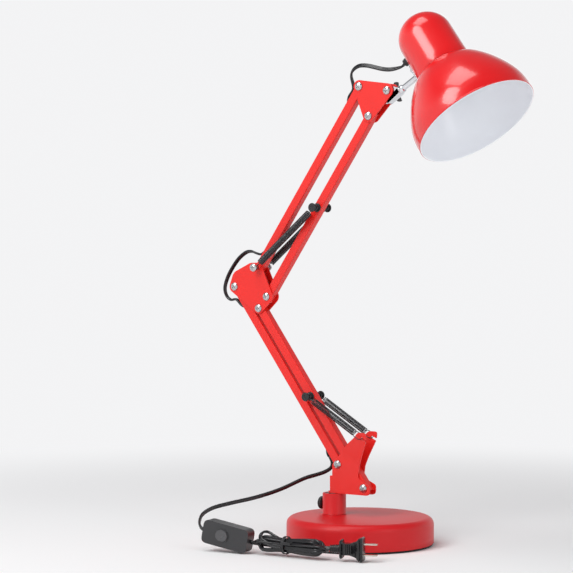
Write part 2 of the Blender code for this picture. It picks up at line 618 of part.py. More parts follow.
def make_head():
    half = CHEEK_INNER - GAP
    wall = 1.5 * MM
    along = Matrix.Rotation(-ROD_ANGLE, 3, "Y")
    drop = ROD_DROP
    web_depth = 4.0 * MM
    outline = hull([(0.0, 0.0, 6.5 * MM), (-8.0 * MM, -drop - 2.0 * MM, 3.0 * MM),
                    (ROD_START - 2.0 * MM, -drop + 1.0 * MM, 4.4 * MM)])
    bore = circle(0.0, 0.0, PIVOT_RADIUS + GAP, 14)
    yoke = add_piece("head_yoke", plate([outline, bore], -half, half), CHROME, tilt, TILT_PIVOT, along)
    hollow_low = -drop + web_depth - 1.0 * MM
    hollow = block((60.0 * MM, 2.0 * (half - wall), 40.0 * MM), (0.0, 0.0, hollow_low + 20.0 * MM))
    cut(yoke, hollow, TILT_PIVOT, along)
    socket_end = ROD_START + 6.0 * MM
    rod_line = towards(ROD_DIR)
    collar = cylinder(ROD_RADIUS + 1.6 * MM, ROD_START - 6.0 * MM, socket_end, 20)
    cut(yoke, collar, ROD_FOOT, rod_line, "UNION")
    cut(yoke, cylinder(ROD_RADIUS + GAP, ROD_START, socket_end + MM, 20), ROD_FOOT, rod_line)

    head_inside = SHADE_REACH - CAP_RADIUS + SHADE_WALL + 0.8 * MM
    rod = turned([(0.0, ROD_START + GAP), (ROD_RADIUS, ROD_START + GAP), (ROD_RADIUS, head_inside),
                  (ROD_RADIUS + 1.8 * MM, head_inside), (ROD_RADIUS + 1.8 * MM, head_inside + 2.4 * MM),
                  (0.0, head_inside + 2.4 * MM)], 20)
    add_piece("head_rod", rod, CHROME, tilt, ROD_FOOT, rod_line)

    bolt_reach = CHEEK_OUTER + GAP
    hub_start = bolt_reach + 3.0 * MM
    hub_end = hub_start + 8.0 * MM
    bolt_end = hub_end + 2.0 * MM
    bolt = [(0.0, bolt_end), (PIVOT_RADIUS, bolt_end - 0.5 * MM), (PIVOT_RADIUS, hub_start - GAP),
            (4.5 * MM, hub_start - GAP), (4.5 * MM, bolt_reach), (PIVOT_RADIUS, bolt_reach),
            (PIVOT_RADIUS, -bolt_reach), (HEAD_RADIUS, -bolt_reach),
            (HEAD_RADIUS - 0.3 * MM, -bolt_reach - 0.4 * HEAD_HEIGHT),
            (0.6 * HEAD_RADIUS, -bolt_reach - 0.9 * HEAD_HEIGHT), (0.0, -bolt_reach - HEAD_HEIGHT)]
    sideways = Matrix.Rotation(math.radians(-90.0), 3, "X")
    add_piece("tilt_bolt", turned(bolt, 18), CHROME, head, TILT_PIVOT, sideways)
    hub = turned([(PIVOT_RADIUS + GAP, hub_start), (5.0 * MM, hub_start), (4.2 * MM, hub_end),
                  (PIVOT_RADIUS + GAP, hub_end)], 20)
    wing_nut = add_piece("wing_nut", hub, BLACK, head, TILT_PIVOT, sideways)
    wing_outline = rounded([(3.4 * MM, 1.0 * MM, MM), (12.0 * MM, 4.0 * MM, 3.5 * MM),
                            (12.0 * MM, 13.0 * MM, 3.5 * MM), (7.0 * MM, 10.5 * MM, 2.0 * MM),
                            (3.4 * MM, 7.0 * MM, MM)])
    spin = Matrix.Rotation(math.radians(78.0), 3, "Y")
    for turn in (0.0, 180.0):
        wing = plate([wing_outline], -1.2 * MM, 1.2 * MM)
        bmesh.ops.translate(wing, verts=wing.verts, vec=(0.0, 0.0, hub_start))
        facing = spin @ sideways @ Matrix.Rotation(math.radians(turn), 3, "Z")
        cut(wing_nut, wing, TILT_PIVOT, facing, "UNION")


def make_shade():
    facing = Matrix.Rotation(SHADE_SWIVEL, 3, ROD_DIR) @ Matrix.Rotation(-(ROD_ANGLE + SHADE_LEAN), 3, "Y")
    rod_line = towards(ROD_DIR)
    rim_level = NECK_LEVEL - RIM_DEPTH
    dome_start = CAP_TOP - CAP_RADIUS + 1.5 * MM
    cap_outer = [(CAP_RADIUS + 0.6 * MM, NECK_LEVEL), (CAP_RADIUS, dome_start)]
    cap_inner = [(CAP_RADIUS + 0.6 * MM - SHADE_WALL, NECK_LEVEL), (CAP_RADIUS - SHADE_WALL, dome_start)]
    for step in range(1, 8):
        angle = math.radians(90.0 * step / 8.0)
        rise = CAP_TOP - dome_start
        cap_outer.append((CAP_RADIUS * math.cos(angle), dome_start + rise * math.sin(angle)))
        cap_inner.append(((CAP_RADIUS - SHADE_WALL) * math.cos(angle),
                          dome_start + (rise - SHADE_WALL) * math.sin(angle)))
    cap = cap_outer + [(0.0, CAP_TOP), (0.0, CAP_TOP - SHADE_WALL)] + cap_inner[::-1]
    cap = add_piece("shade_cap", turned(cap, 40), RED, shade, SHADE_CENTRE, facing)
    cut(cap, cylinder(ROD_RADIUS + GAP, 0.0, SHADE_REACH - CAP_RADIUS / 2.0, 20), ROD_FOOT, rod_line)

    bell_top = NECK_LEVEL - GAP
    outer = [(BELL_NECK + (RIM_RADIUS - BELL_NECK) * out, rim_level + RIM_DEPTH * up)
             for up, out in BELL_CURVE]
    outer[0] = (outer[0][0], bell_top)
    lip = 1.2 * MM
    flange_bore = HOLDER_RADIUS + GAP
    inner = [(radius - SHADE_WALL, level - 0.3 * MM) for radius, level in outer[1:]]
    bell = [(flange_bore, bell_top)] + outer
    bell += [(RIM_RADIUS, rim_level + lip), (RIM_RADIUS, rim_level), (RIM_RADIUS - SHADE_WALL, rim_level)]
    under_top = bell_top - SHADE_WALL
    bell += inner[::-1] + [(outer[0][0] - SHADE_WALL, under_top), (flange_bore, under_top)]
    add_piece("shade_bell", turned(bell, 52), RED, shade, SHADE_CENTRE, facing)

    flange_low = bell_top + GAP
    holder_low = bell_top - 12.0 * MM
    holder_top = 30.0 * MM
    cell_top = holder_top - 8.0 * MM
    holder = turned([(0.0, holder_top), (HOLDER_RADIUS - 3.0 * MM, holder_top),
                     (HOLDER_RADIUS, holder_top - 5.0 * MM),
                     (HOLDER_RADIUS, flange_low + 2.0 * MM), (HOLDER_FLANGE, flange_low + 2.0 * MM),
                     (HOLDER_FLANGE, flange_low), (HOLDER_RADIUS, flange_low), (HOLDER_RADIUS, holder_low),
                     (HOLDER_BORE, holder_low), (HOLDER_BORE, cell_top), (0.0, cell_top)], 28)
    add_piece("lampholder", holder, WHITE, shade, SHADE_CENTRE, facing)
    shell_outer = HOLDER_BORE - GAP
    shell_inner = shell_outer - 0.6 * MM
    shell_low = holder_low + 5.0 * MM
    shell_top = cell_top - 2.0 * MM
    shell = turned([(shell_inner, shell_low), (shell_outer, shell_low), (shell_outer, shell_top),
                    (shell_inner, shell_top)], 28)
    add_piece("socket_shell", shell, BRASS, shade, SHADE_CENTRE, facing)
    contact = turned([(0.0, cell_top - GAP), (3.0 * MM, cell_top - GAP), (2.0 * MM, cell_top - 4.0 * MM),
                      (0.0, cell_top - 4.0 * MM)], 14)
    add_piece("centre_contact", contact, BRASS, shade, SHADE_CENTRE, facing)

    side = -CAP_RADIUS - 0.4 * MM
    clamp_outline = rounded([(-7.0 * MM, -9.0 * MM, 3.0 * MM), (7.0 * MM, -9.0 * MM, 3.0 * MM),
                             (5.0 * MM, 19.0 * MM, 4.0 * MM), (-5.0 * MM, 19.0 * MM, 4.0 * MM)])
    screw_level = 12.5 * MM
    clamp = plate([clamp_outline, circle(0.0, screw_level, PIVOT_RADIUS + GAP, 14)],
                  -side + GAP, -side + GAP + SHEET)
    bmesh.ops.rotate(clamp, verts=clamp.verts, matrix=Matrix.Rotation(math.radians(90.0), 3, "Z"))
    clamp = add_piece("rod_clamp", clamp, CHROME, shade, SHADE_CENTRE, facing)
    cut(clamp, cylinder(ROD_RADIUS + GAP, 0.0, SHADE_REACH - CAP_RADIUS / 2.0, 20), ROD_FOOT, rod_line)
    screw_base = -side + 2.0 * GAP + SHEET
    outward = facing @ towards((-1.0, 0.0, 0.0))
    screw_place = SHADE_CENTRE + facing @ Vector((0.0, 0.0, screw_level))
    inside = CAP_RADIUS - SHADE_WALL - 4.0 * MM
    clamp_screw = turned([(0.0, inside), (PIVOT_RADIUS, inside), (PIVOT_RADIUS, screw_base),
                          (3.6 * MM, screw_base), (2.8 * MM, screw_base + 2.0 * MM),
                          (0.0, screw_base + 2.3 * MM)], 16)
    add_piece("clamp_screw", clamp_screw, CHROME, shade, screw_place, outward)
    cut(cap, cylinder(PIVOT_RADIUS + GAP, inside - MM, screw_base, 14), screw_place, outward)

    grommet_place = SHADE_CENTRE + facing @ Vector((0.0, 0.0, GROMMET_LEVEL))
    neck = 4.2 * MM
    bore = CORD_RADIUS + 2.0 * GAP
    grommet = turned([(bore, CAP_RADIUS - 3.5 * MM), (neck, CAP_RADIUS - 3.5 * MM),
                      (neck, CAP_RADIUS + 0.3 * MM),
                      (neck + 1.4 * MM, CAP_RADIUS + 0.3 * MM), (neck + 0.2 * MM, CAP_RADIUS + 6.5 * MM),
                      (bore, CAP_RADIUS + 6.5 * MM)], 18)
    add_piece("cord_grommet", grommet, BLACK, shade, grommet_place, outward)
    cut(cap, cylinder(neck + GAP, CAP_RADIUS - 6.0 * MM, CAP_RADIUS + 3.0 * MM, 18), grommet_place, outward)
    return facing



def bar_point(pivot, direction, distance, offset):
    """A point beside a bar: a distance along it and an offset out of its rear face's side."""
    rear = Vector((-abs(direction.z), 0.0, abs(direction.x)))
    if direction.x < 0.0:
        rear = Vector((-abs(direction.z), 0.0, -abs(direction.x)))
    return pivot + direction * distance + rear * offset


def make_inner_cords(facing):
    """The lead from the shade down to the base: through the rear bars, with a loop at each joint."""
    out = BAR_WIDTH / 2.0 + CORD_RADIUS + GAP
    inside = SLOT_END + 5.0 * MM
    level = SLOT_END - 3.0 * MM
    seam = GAP / 2.0

    def lower(distance, offset):
        return bar_point(LOWER_REAR, LOWER_DIR, distance, offset)

    def upper(distance, offset):
        return bar_point(ELBOW_TOP, UPPER_DIR, distance, offset)

    cord("cord_lower_run", [lower(16.0 * MM, out), lower(20.0 * MM, out), lower(30.0 * MM, 0.45 * out),
                            lower(level, 0.0), lower(inside, 0.0), lower(ARM_LENGTH / 2.0, 0.0),
                            lower(ARM_LENGTH - inside - seam, 0.0)], BLACK, lower_rear, LOWER_REAR)
    loop = [(-186.1, 296.4), (-194.5, 295.6), (-201.5, 301.0), (-204.0, 312.0), (-197.5, 328.5),
            (-184.0, 346.5), (-171.0, 355.5), (-160.0, 357.5), (-151.0, 358.8)]
    anchor = Vector((-184.0, 0.0, 313.0)) * MM
    loop = [ELBOW_REAR + Vector((x, 0.0, z)) * MM - anchor for x, z in loop]
    start = [lower(ARM_LENGTH - inside + seam, 0.0), lower(ARM_LENGTH - level, 0.0),
             lower(ARM_LENGTH - 32.0 * MM, 0.4 * out), lower(ARM_LENGTH - 23.0 * MM, out)]
    end = [upper(22.0 * MM, out + 0.6 * MM), upper(31.0 * MM, 0.45 * out), upper(level, 0.0),
           upper(inside - seam, 0.0)]
    cord("cord_elbow_loop", start + loop + end, BLACK, elbow, ELBOW_REAR)
    cord("cord_upper_run", [upper(inside + seam, 0.0), upper(ARM_LENGTH / 2.0, 0.0),
                            upper(ARM_LENGTH - inside - seam, 0.0)], BLACK, upper_rear, ELBOW_TOP)
    start = [upper(ARM_LENGTH - inside + seam, 0.0), upper(ARM_LENGTH - level, 0.0),
             upper(ARM_LENGTH - 30.0 * MM, 0.45 * out),
             upper(ARM_LENGTH - 20.0 * MM, out), upper(ARM_LENGTH - 8.0 * MM, out + 0.5 * MM)]
    loop = [(-13.0, 571.3), (-10.5, 578.5), (-2.0, 583.2), (9.3, 583.0), (20.7, 580.4), (32.0, 577.6),
            (43.3, 576.6)]
    anchor = Vector((2.4, 0.0, 558.0)) * MM
    loop = [HEAD_REAR + Vector((x, 0.0, z)) * MM - anchor for x, z in loop]
    mouth = SHADE_CENTRE + facing @ Vector((-CAP_RADIUS + 3.0 * MM, 0.0, GROMMET_LEVEL))
    outside = SHADE_CENTRE + facing @ Vector((-CAP_RADIUS - 6.0 * MM, 0.0, GROMMET_LEVEL))
    beyond = SHADE_CENTRE + facing @ Vector((-CAP_RADIUS - 13.0 * MM, 0.0, GROMMET_LEVEL))
    cord("cord_head_loop", start + loop + [beyond, outside, mouth], BLACK, tilt, TILT_PIVOT)


# The lead's own route from the arm to the switch, in mm
LEAD_ROUTE = [(-42.0, 0.0, 100.7), (-40.3, -0.4, 96.2), (-40.9, -2.6, 90.6), (-45.0, -9.0, 86.2),
              (-52.0, -18.0, 82.8), (-62.1, -30.5, 78.6), (-81.4, -54.9, 66.2), (-100.6, -79.0, 57.7),
              (-119.6, -103.0, 52.1), (-133.0, -122.0, 47.2), (-138.8, -136.0, 40.2),
              (-135.6, -146.2, 31.6)]


def make_lead():
    """The free lead: from the foot of the arm, through the switch, to the tied hank and the plug."""
    out = BAR_WIDTH / 2.0 + CORD_RADIUS + GAP
    exit_point = bar_point(LOWER_REAR, LOWER_DIR, 16.0 * MM, out) - LOWER_DIR * 3.0 * GAP
    spin = Matrix.Rotation(SWITCH_YAW, 3, "Z") @ Matrix.Rotation(SWITCH_TILT, 3, "Y")
    corner = Vector((SWITCH_SIZE.x / 2.0, -SWITCH_SIZE.y / 2.0, -SWITCH_SIZE.z / 2.0))
    switch = Vector((-66.0, -149.8, 0.3)) * MM - spin @ corner
    inlet = switch + spin @ Vector((-SWITCH_SIZE.x / 2.0 - 4.0 * GAP, 0.0, 0.0))
    before = switch + spin @ Vector((-SWITCH_SIZE.x / 2.0 - 6.0 * MM, 0.0, 0.0))
    route = [exit_point] + [Vector(point) * MM for point in LEAD_ROUTE] + [before, inlet]
    cord("lead_to_switch", route, BLACK, None, ORIGIN)

    half = SWITCH_SIZE.y / 2.0
    rear = soft_block((SWITCH_SIZE.x, half - GAP / 2.0, SWITCH_SIZE.z), 2.0 * MM)
    bmesh.ops.translate(rear, verts=rear.verts, vec=(0.0, half / 2.0 + GAP / 4.0, 0.0))
    add_piece("switch_case_rear", rear, BLACK, None, switch, spin)
    front = soft_block((SWITCH_SIZE.x, half - GAP / 2.0, SWITCH_SIZE.z), 2.0 * MM)
    bmesh.ops.translate(front, verts=front.verts, vec=(0.0, -half / 2.0 - GAP / 4.0, 0.0))
    front = add_piece("switch_case_front", front, BLACK, None, switch, spin)
    round_end = ROCKER_HEIGHT / 2.0
    centres = ROCKER_LENGTH / 2.0 - round_end
    for grow, near, far in ((0.5 * MM, -2.0 * MM, 4.6 * MM), (0.0, -0.8 * MM, 2.4 * MM)):
        outline = hull([(-centres, 0.0, round_end + grow), (centres, 0.0, round_end + grow)], 28)
        bm = plate([outline], near, far)
        place = switch + spin @ Vector((-4.0 * MM, -half, 0.0))
        if grow:
            cut(front, bm, place, spin)
        else:
            add_piece("switch_rocker", bm, BLACK, None, place, spin)

    hank_end = switch + spin @ Vector((SWITCH_SIZE.x / 2.0, 0.0, 0.0))
    hank_start = Vector((hank_end.x + HANK_SHIFT[0], hank_end.y + HANK_SHIFT[1], HANK_LIFT))
    hank_turn = Matrix.Rotation(HANK_TURN, 3, "Z")
    stadium = hull([(HANK_WIDTH / 2.0, 0.0, HANK_WIDTH / 2.0),
                    (HANK_LENGTH - HANK_WIDTH / 2.0, 0.0, HANK_WIDTH / 2.0)], 32)
    hank = plate([stadium], 0.0, HANK_HEIGHT)
    upright = Matrix.Rotation(math.radians(90.0), 3, "X")
    bmesh.ops.rotate(hank, verts=hank.verts, matrix=upright)
    add_piece("cord_hank", hank, BLACK, None, hank_start, hank_turn)
    half_width = HANK_WIDTH / 2.0 + GAP
    outer_half = half_width + TIE_WALL
    tie_low = -GAP - TIE_WALL
    tie_top = HANK_HEIGHT + GAP + TIE_WALL
    tie = plate([[(-outer_half, tie_low), (outer_half, tie_low), (outer_half, tie_top),
                  (-outer_half, tie_top)],
                 [(-half_width, -GAP), (half_width, -GAP), (half_width, HANK_HEIGHT + GAP),
                  (-half_width, HANK_HEIGHT + GAP)]], -TIE_WIDTH / 2.0, TIE_WIDTH / 2.0)
    bmesh.ops.rotate(tie, verts=tie.verts, matrix=Matrix.Rotation(math.radians(90.0), 3, "Z"))
    bmesh.ops.translate(tie, verts=tie.verts, vec=(0.44 * HANK_LENGTH, 0.0, 0.0))
    add_piece("hank_tie", tie, BLACK, None, hank_start, hank_turn)

    plug_start = hank_start + hank_turn @ Vector((HANK_LENGTH + PLUG_GAP, 0.0, 0.0))
    plug_start.z = PLUG_WIDTH / 2.0 + GAP
    # The plug lies on its side, with one blade above the other
    plug_turn = Matrix.Rotation(PLUG_YAW, 3, "Z") @ Matrix.Rotation(math.radians(90.0), 3, "X")
    plug = soft_block((PLUG_LENGTH, PLUG_WIDTH, PLUG_HEIGHT), 3.0 * MM)
    for vert in plug.verts:
        share = 0.5 - vert.co.x / PLUG_LENGTH
        vert.co.y *= 1.0 - 0.3 * share
        vert.co.z *= 1.0 - 0.25 * share
    bmesh.ops.translate(plug, verts=plug.verts, vec=(PLUG_RELIEF + PLUG_LENGTH / 2.0, 0.0, 0.0))
    plug = add_piece("plug_body", plug, BLACK, None, plug_start, plug_turn)
    stem_end = PLUG_RELIEF + 2.0 * MM
    stem = turned([(0.0, 0.0), (4.2 * MM, 0.0), (5.4 * MM, stem_end), (0.0, stem_end)], 20)
    cut(plug, stem, plug_start, plug_turn @ towards((1.0, 0.0, 0.0)), "UNION")
    for side, word in ((-1.0, "near"), (1.0, "far")):
        blade_root = PLUG_RELIEF + PLUG_LENGTH - 4.0 * MM
        slot_centre = (PLUG_RELIEF + PLUG_LENGTH - 1.0 * MM, side * BLADE_SPACING / 2.0, 0.0)
        slot = block((6.0 * MM, 2.1 * MM, 6.9 * MM), slot_centre)
        cut(plug, slot, plug_start, plug_turn)
        blade_start = blade_root + GAP
        blade_end = PLUG_RELIEF + PLUG_LENGTH + BLADE_REACH
        half = BLADE_HEIGHT / 2.0
        outline = rounded([(blade_start, -half, 0.2 * MM), (blade_end, -half, 1.6 * MM),
                           (blade_end, half, 1.6 * MM), (blade_start, half, 0.2 * MM)], 3)
        blade = plate([outline], -0.75 * MM, 0.75 * MM)
        bmesh.ops.translate(blade, verts=blade.verts, vec=(0.0, side * BLADE_SPACING / 2.0, 0.0))
        add_piece("plug_blade_" + word, blade, BRASS, None, plug_start, plug_turn)


make_base()
make_bracket()
make_arms()
make_springs()
make_head()
shade_facing = make_shade()
make_inner_cords(shade_facing)
make_lead()
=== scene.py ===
"""Red sprung desk lamp on a round weighted base, with its lead, switch, tied hank and plug.

Lengths are in metres unless a name or a comment says millimetres; MM turns one into the other.
"""
import json
import math

import bmesh
import bpy
from mathutils import Matrix, Vector


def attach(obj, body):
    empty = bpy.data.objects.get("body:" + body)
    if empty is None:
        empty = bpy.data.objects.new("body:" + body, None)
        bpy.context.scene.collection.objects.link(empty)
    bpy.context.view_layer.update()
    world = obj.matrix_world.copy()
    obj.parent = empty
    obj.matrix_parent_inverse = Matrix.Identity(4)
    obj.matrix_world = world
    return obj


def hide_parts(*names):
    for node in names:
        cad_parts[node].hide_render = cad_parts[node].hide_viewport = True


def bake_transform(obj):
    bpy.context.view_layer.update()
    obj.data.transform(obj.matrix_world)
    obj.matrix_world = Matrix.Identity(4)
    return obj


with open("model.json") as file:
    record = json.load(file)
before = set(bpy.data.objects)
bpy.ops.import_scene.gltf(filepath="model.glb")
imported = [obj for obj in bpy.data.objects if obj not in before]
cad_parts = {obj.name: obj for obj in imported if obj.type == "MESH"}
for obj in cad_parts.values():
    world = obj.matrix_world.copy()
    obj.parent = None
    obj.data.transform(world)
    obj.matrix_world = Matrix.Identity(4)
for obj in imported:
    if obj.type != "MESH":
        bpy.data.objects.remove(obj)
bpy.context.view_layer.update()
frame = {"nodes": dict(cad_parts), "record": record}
MM = 0.001
PIVOT = {joint["name"]: Vector(joint["pos_m"]) for joint in frame["record"]["behaviour"]["joints"]}

# ---------------------------------------------------------------- studio
# A pale floor that fades into an even bright surround, one large soft light above on the left, a
# fill on the right and one overhead, as a product is lit for a catalogue.
FLOOR_REACH = 30.0
FADE_START = 0.45
FADE_END = 1.30
SURROUND = (0.90, 0.90, 0.91, 1.0)


def stage_material():
    """White floor near the lamp; further out it glows as the surround does, so no edge shows."""
    material = bpy.data.materials.new("studio_white")
    material.use_nodes = True
    nodes, links = material.node_tree.nodes, material.node_tree.links
    shader = nodes["Principled BSDF"]
    shader.inputs["Base Color"].default_value = (0.93, 0.93, 0.93, 1.0)
    shader.inputs["Roughness"].default_value = 0.9
    shader.inputs["Specular IOR Level"].default_value = 0.1
    place = nodes.new("ShaderNodeTexCoord")
    reach = nodes.new("ShaderNodeVectorMath")
    reach.operation = "LENGTH"
    fade = nodes.new("ShaderNodeMapRange")
    fade.interpolation_type = "SMOOTHSTEP"
    fade.inputs["From Min"].default_value = FADE_START
    fade.inputs["From Max"].default_value = FADE_END
    glow = nodes.new("ShaderNodeEmission")
    glow.inputs["Color"].default_value = SURROUND
    mixed = nodes.new("ShaderNodeMixShader")
    links.new(place.outputs["Object"], reach.inputs[0])
    links.new(reach.outputs["Value"], fade.inputs["Value"])
    links.new(fade.outputs["Result"], mixed.inputs["Fac"])
    links.new(shader.outputs["BSDF"], mixed.inputs[1])
    links.new(glow.outputs["Emission"], mixed.inputs[2])
    links.new(mixed.outputs["Shader"], nodes["Material Output"].inputs["Surface"])
    return material


bm = bmesh.new()
bmesh.ops.create_grid(bm, x_segments=1, y_segments=1, size=FLOOR_REACH)
floor_mesh = bpy.data.meshes.new("studio_floor")
bm.to_mesh(floor_mesh)
bm.free()
floor = bpy.data.objects.new("studio_floor", floor_mesh)
floor.location.z = -0.0002
floor_mesh.materials.append(stage_material())
bpy.context.scene.collection.objects.link(floor)


def area_light(name, place, target, size, power):
    light = bpy.data.lights.new(name, "AREA")
    light.shape = "RECTANGLE"
    light.size, light.size_y = size
    light.energy = power
    lamp = bpy.data.objects.new(name, light)
    lamp.location = place
    aim = Vector(target) - Vector(place)
    lamp.rotation_euler = aim.to_track_quat("-Z", "Y").to_euler()
    bpy.context.scene.collection.objects.link(lamp)


area_light("key_softbox", (-0.6, -2.0, 1.9), (0.0, 0.0, 0.3), (1.1, 1.3), 34.0)
area_light("side_softbox", (2.0, -0.5, 1.2), (0.0, 0.0, 0.3), (0.6, 1.5), 6.0)
area_light("top_softbox", (-0.3, -0.6, 2.4), (0.0, 0.0, 0.0), (1.2, 1.2), 18.0)

world = bpy.data.worlds.new("studio_world")
world.use_nodes = True
sky_nodes, sky_links = world.node_tree.nodes, world.node_tree.links
sky_place, sky_split = sky_nodes.new("ShaderNodeTexCoord"), sky_nodes.new("ShaderNodeSeparateXYZ")
sky_ramp = sky_nodes.new("ShaderNodeValToRGB")
sky_ramp.color_ramp.elements[0].position = 0.22
sky_ramp.color_ramp.elements[0].color = SURROUND
sky_ramp.color_ramp.elements[1].position = 0.60
sky_ramp.color_ramp.elements[1].color = (0.20, 0.20, 0.21, 1.0)
sky_links.new(sky_place.outputs["Generated"], sky_split.inputs["Vector"])
sky_links.new(sky_split.outputs["Z"], sky_ramp.inputs["Fac"])
sky_links.new(sky_ramp.outputs["Color"], sky_nodes["Background"].inputs["Color"])
bpy.context.scene.world = world
bpy.context.scene.view_settings.view_transform = "Standard"

camera_data = bpy.data.cameras.new("studio_camera")
camera_data.sensor_width = 36.0
camera_data.lens = 122.26
camera_data.clip_start = 0.05
camera = bpy.data.objects.new("studio_camera", camera_data)
camera.location = (1.2640, -2.0116, 0.3531)
camera.rotation_euler = [math.radians(angle) for angle in (89.067, 0.0, 34.314)]
bpy.context.scene.collection.objects.link(camera)
bpy.context.scene.camera = camera


# ---------------------------------------------------------------- base
# A pressed steel cover over an iron disc, enamelled red, rolled at its lower edge, on a rubber
# foot.  The tube stands on a stud and a black thumb screw in its side clamps the spindle.


def texture_group():
    """Fine grain: a tone mask, a roughness that wanders, and a bumped normal."""
    group = bpy.data.node_groups.new("fine_surface", "ShaderNodeTree")
    ports = group.interface
    for name, default in (("Grain Scale", 900.0), ("Patch Scale", 30.0), ("Roughness", 0.4),
                          ("Roughness Spread", 0.1), ("Bump Depth", 0.1)):
        ports.new_socket(name, in_out="INPUT", socket_type="NodeSocketFloat").default_value = default
    ports.new_socket("Mask", in_out="OUTPUT", socket_type="NodeSocketFloat")
    ports.new_socket("Roughness", in_out="OUTPUT", socket_type="NodeSocketFloat")
    ports.new_socket("Normal", in_out="OUTPUT", socket_type="NodeSocketVector")
    nodes, links = group.nodes, group.links
    inputs, outputs = nodes.new("NodeGroupInput"), nodes.new("NodeGroupOutput")
    place = nodes.new("ShaderNodeTexCoord")
    grain, patch = nodes.new("ShaderNodeTexNoise"), nodes.new("ShaderNodeTexNoise")
    grain.inputs["Detail"].default_value = 3.0
    patch.inputs["Detail"].default_value = 4.0
    bump = nodes.new("ShaderNodeBump")
    bump.inputs["Distance"].default_value = 0.0004
    wander, lift = nodes.new("ShaderNodeMath"), nodes.new("ShaderNodeMath")
    wander.operation = "MULTIPLY_ADD"
    lift.operation = "SUBTRACT"
    lift.inputs[1].default_value = 0.5
    links.new(place.outputs["Object"], grain.inputs["Vector"])
    links.new(place.outputs["Object"], patch.inputs["Vector"])
    links.new(inputs.outputs["Grain Scale"], grain.inputs["Scale"])
    links.new(inputs.outputs["Patch Scale"], patch.inputs["Scale"])
    links.new(patch.outputs["Fac"], lift.inputs[0])
    links.new(lift.outputs[0], wander.inputs[0])
    links.new(inputs.outputs["Roughness Spread"], wander.inputs[1])
    links.new(inputs.outputs["Roughness"], wander.inputs[2])
    links.new(grain.outputs["Fac"], bump.inputs["Height"])
    links.new(inputs.outputs["Bump Depth"], bump.inputs["Strength"])
    links.new(patch.outputs["Fac"], outputs.inputs["Mask"])
    links.new(wander.outputs[0], outputs.inputs["Roughness"])
    links.new(bump.outputs["Normal"], outputs.inputs["Normal"])
    return group


FINE_SURFACE = texture_group()


def finish(name, colour, tone, rough, spread, bump, grain=900.0, patch=30.0, metallic=0.0, coat=0.0,
           coat_rough=0.1, specular=0.5):
    """A material whose colour drifts a little between colour and colour x tone."""
    material = bpy.data.materials.new(name)
    material.use_nodes = True
    nodes, links = material.node_tree.nodes, material.node_tree.links
    shader = nodes["Principled BSDF"]
    shader.inputs["Metallic"].default_value = metallic
    shader.inputs["Coat Weight"].default_value = coat
    shader.inputs["Coat Roughness"].default_value = coat_rough
    shader.inputs["Specular IOR Level"].default_value = specular
    texture = nodes.new("ShaderNodeGroup")
    texture.node_tree = FINE_SURFACE
    for port, value in (("Grain Scale", grain), ("Patch Scale", patch), ("Roughness", rough),
                        ("Roughness Spread", spread), ("Bump Depth", bump)):
        texture.inputs[port].default_value = value
    ramp = nodes.new("ShaderNodeValToRGB")
    ramp.color_ramp.elements[0].position = 0.3
    ramp.color_ramp.elements[0].color = (*[channel * tone for channel in colour], 1.0)
    ramp.color_ramp.elements[1].position = 0.7
    ramp.color_ramp.elements[1].color = (*colour, 1.0)
    links.new(texture.outputs["Mask"], ramp.inputs["Fac"])
    links.new(ramp.outputs["Color"], shader.inputs["Base Color"])
    links.new(texture.outputs["Roughness"], shader.inputs["Roughness"])
    links.new(texture.outputs["Normal"], shader.inputs["Normal"])
    return material


SATIN_RED = finish("satin_red_paint", (0.64, 0.008, 0.012), 0.93, 0.42, 0.08, 0.03, grain=600.0,
                   coat=0.08, coat_rough=0.3, specular=0.32)
RUBBER = finish("foot_rubber", (0.012, 0.012, 0.012), 0.8, 0.8, 0.1, 0.6)
BLACK_NYLON = finish("black_nylon", (0.014, 0.014, 0.016), 0.8, 0.42, 0.12, 0.3)


def hand_over(name, bm, material, body, stands_for=(), matrix=None, soften=0.0, angle=35.0,
              steps=2, second=None):
    """Bevel the sharp edges, place the mesh, make it an object and let it ride."""
    bmesh.ops.remove_doubles(bm, verts=bm.verts, dist=1e-6)
    bmesh.ops.recalc_face_normals(bm, faces=bm.faces)
    if soften:
        limit = math.radians(angle)
        sharp = [edge for edge in bm.edges if len(edge.link_faces) == 2
                 and edge.calc_face_angle(0.0) > limit]
        bmesh.ops.bevel(bm, geom=sharp, offset=soften, segments=steps, profile=0.5, affect="EDGES",
                        clamp_overlap=True, material=-1)
    if matrix is not None:
        bmesh.ops.transform(bm, matrix=matrix, verts=bm.verts)
    mesh = bpy.data.meshes.new(name)
    bm.to_mesh(mesh)
    bm.free()
    mesh.shade_smooth()
    mesh.set_sharp_from_angle(angle=math.radians(50.0 if soften else angle))
    mesh.materials.append(material)
    # A second slot, here the painted shade inside a screw's recess.
    if second is not None:
        mesh.materials.append(second)
    piece = bpy.data.objects.new(name, mesh)
    bpy.context.scene.collection.objects.link(piece)
    if soften:
        even = piece.modifiers.new("even_shading", "WEIGHTED_NORMAL")
        even.keep_sharp = True
    if body:
        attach(piece, body)
    if stands_for:
        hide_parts(*stands_for)
    return piece


def spun(profile, steps=64, closed=False):
    """A solid of revolution about Z from (radius, height) points in metres."""
    bm = bmesh.new()
    verts = [bm.verts.new((radius, 0.0, height)) for radius, height in profile]
    edges = [bm.edges.new(pair) for pair in zip(verts, verts[1:])]
    if closed:
        edges.append(bm.edges.new((verts[-1], verts[0])))
    bmesh.ops.spin(bm, geom=verts + edges, axis=(0, 0, 1), cent=(0, 0, 0), angle=2.0 * math.pi,
                   steps=steps, use_merge=True)
    return bm


def arc(cx, cy, radius, start, end, steps):
    """Points round a centre, from one angle in degrees to another."""
    turn = [math.radians(start + (end - start) * i / steps) for i in range(steps + 1)]
    return [(cx + radius * math.cos(a), cy + radius * math.sin(a)) for a in turn]


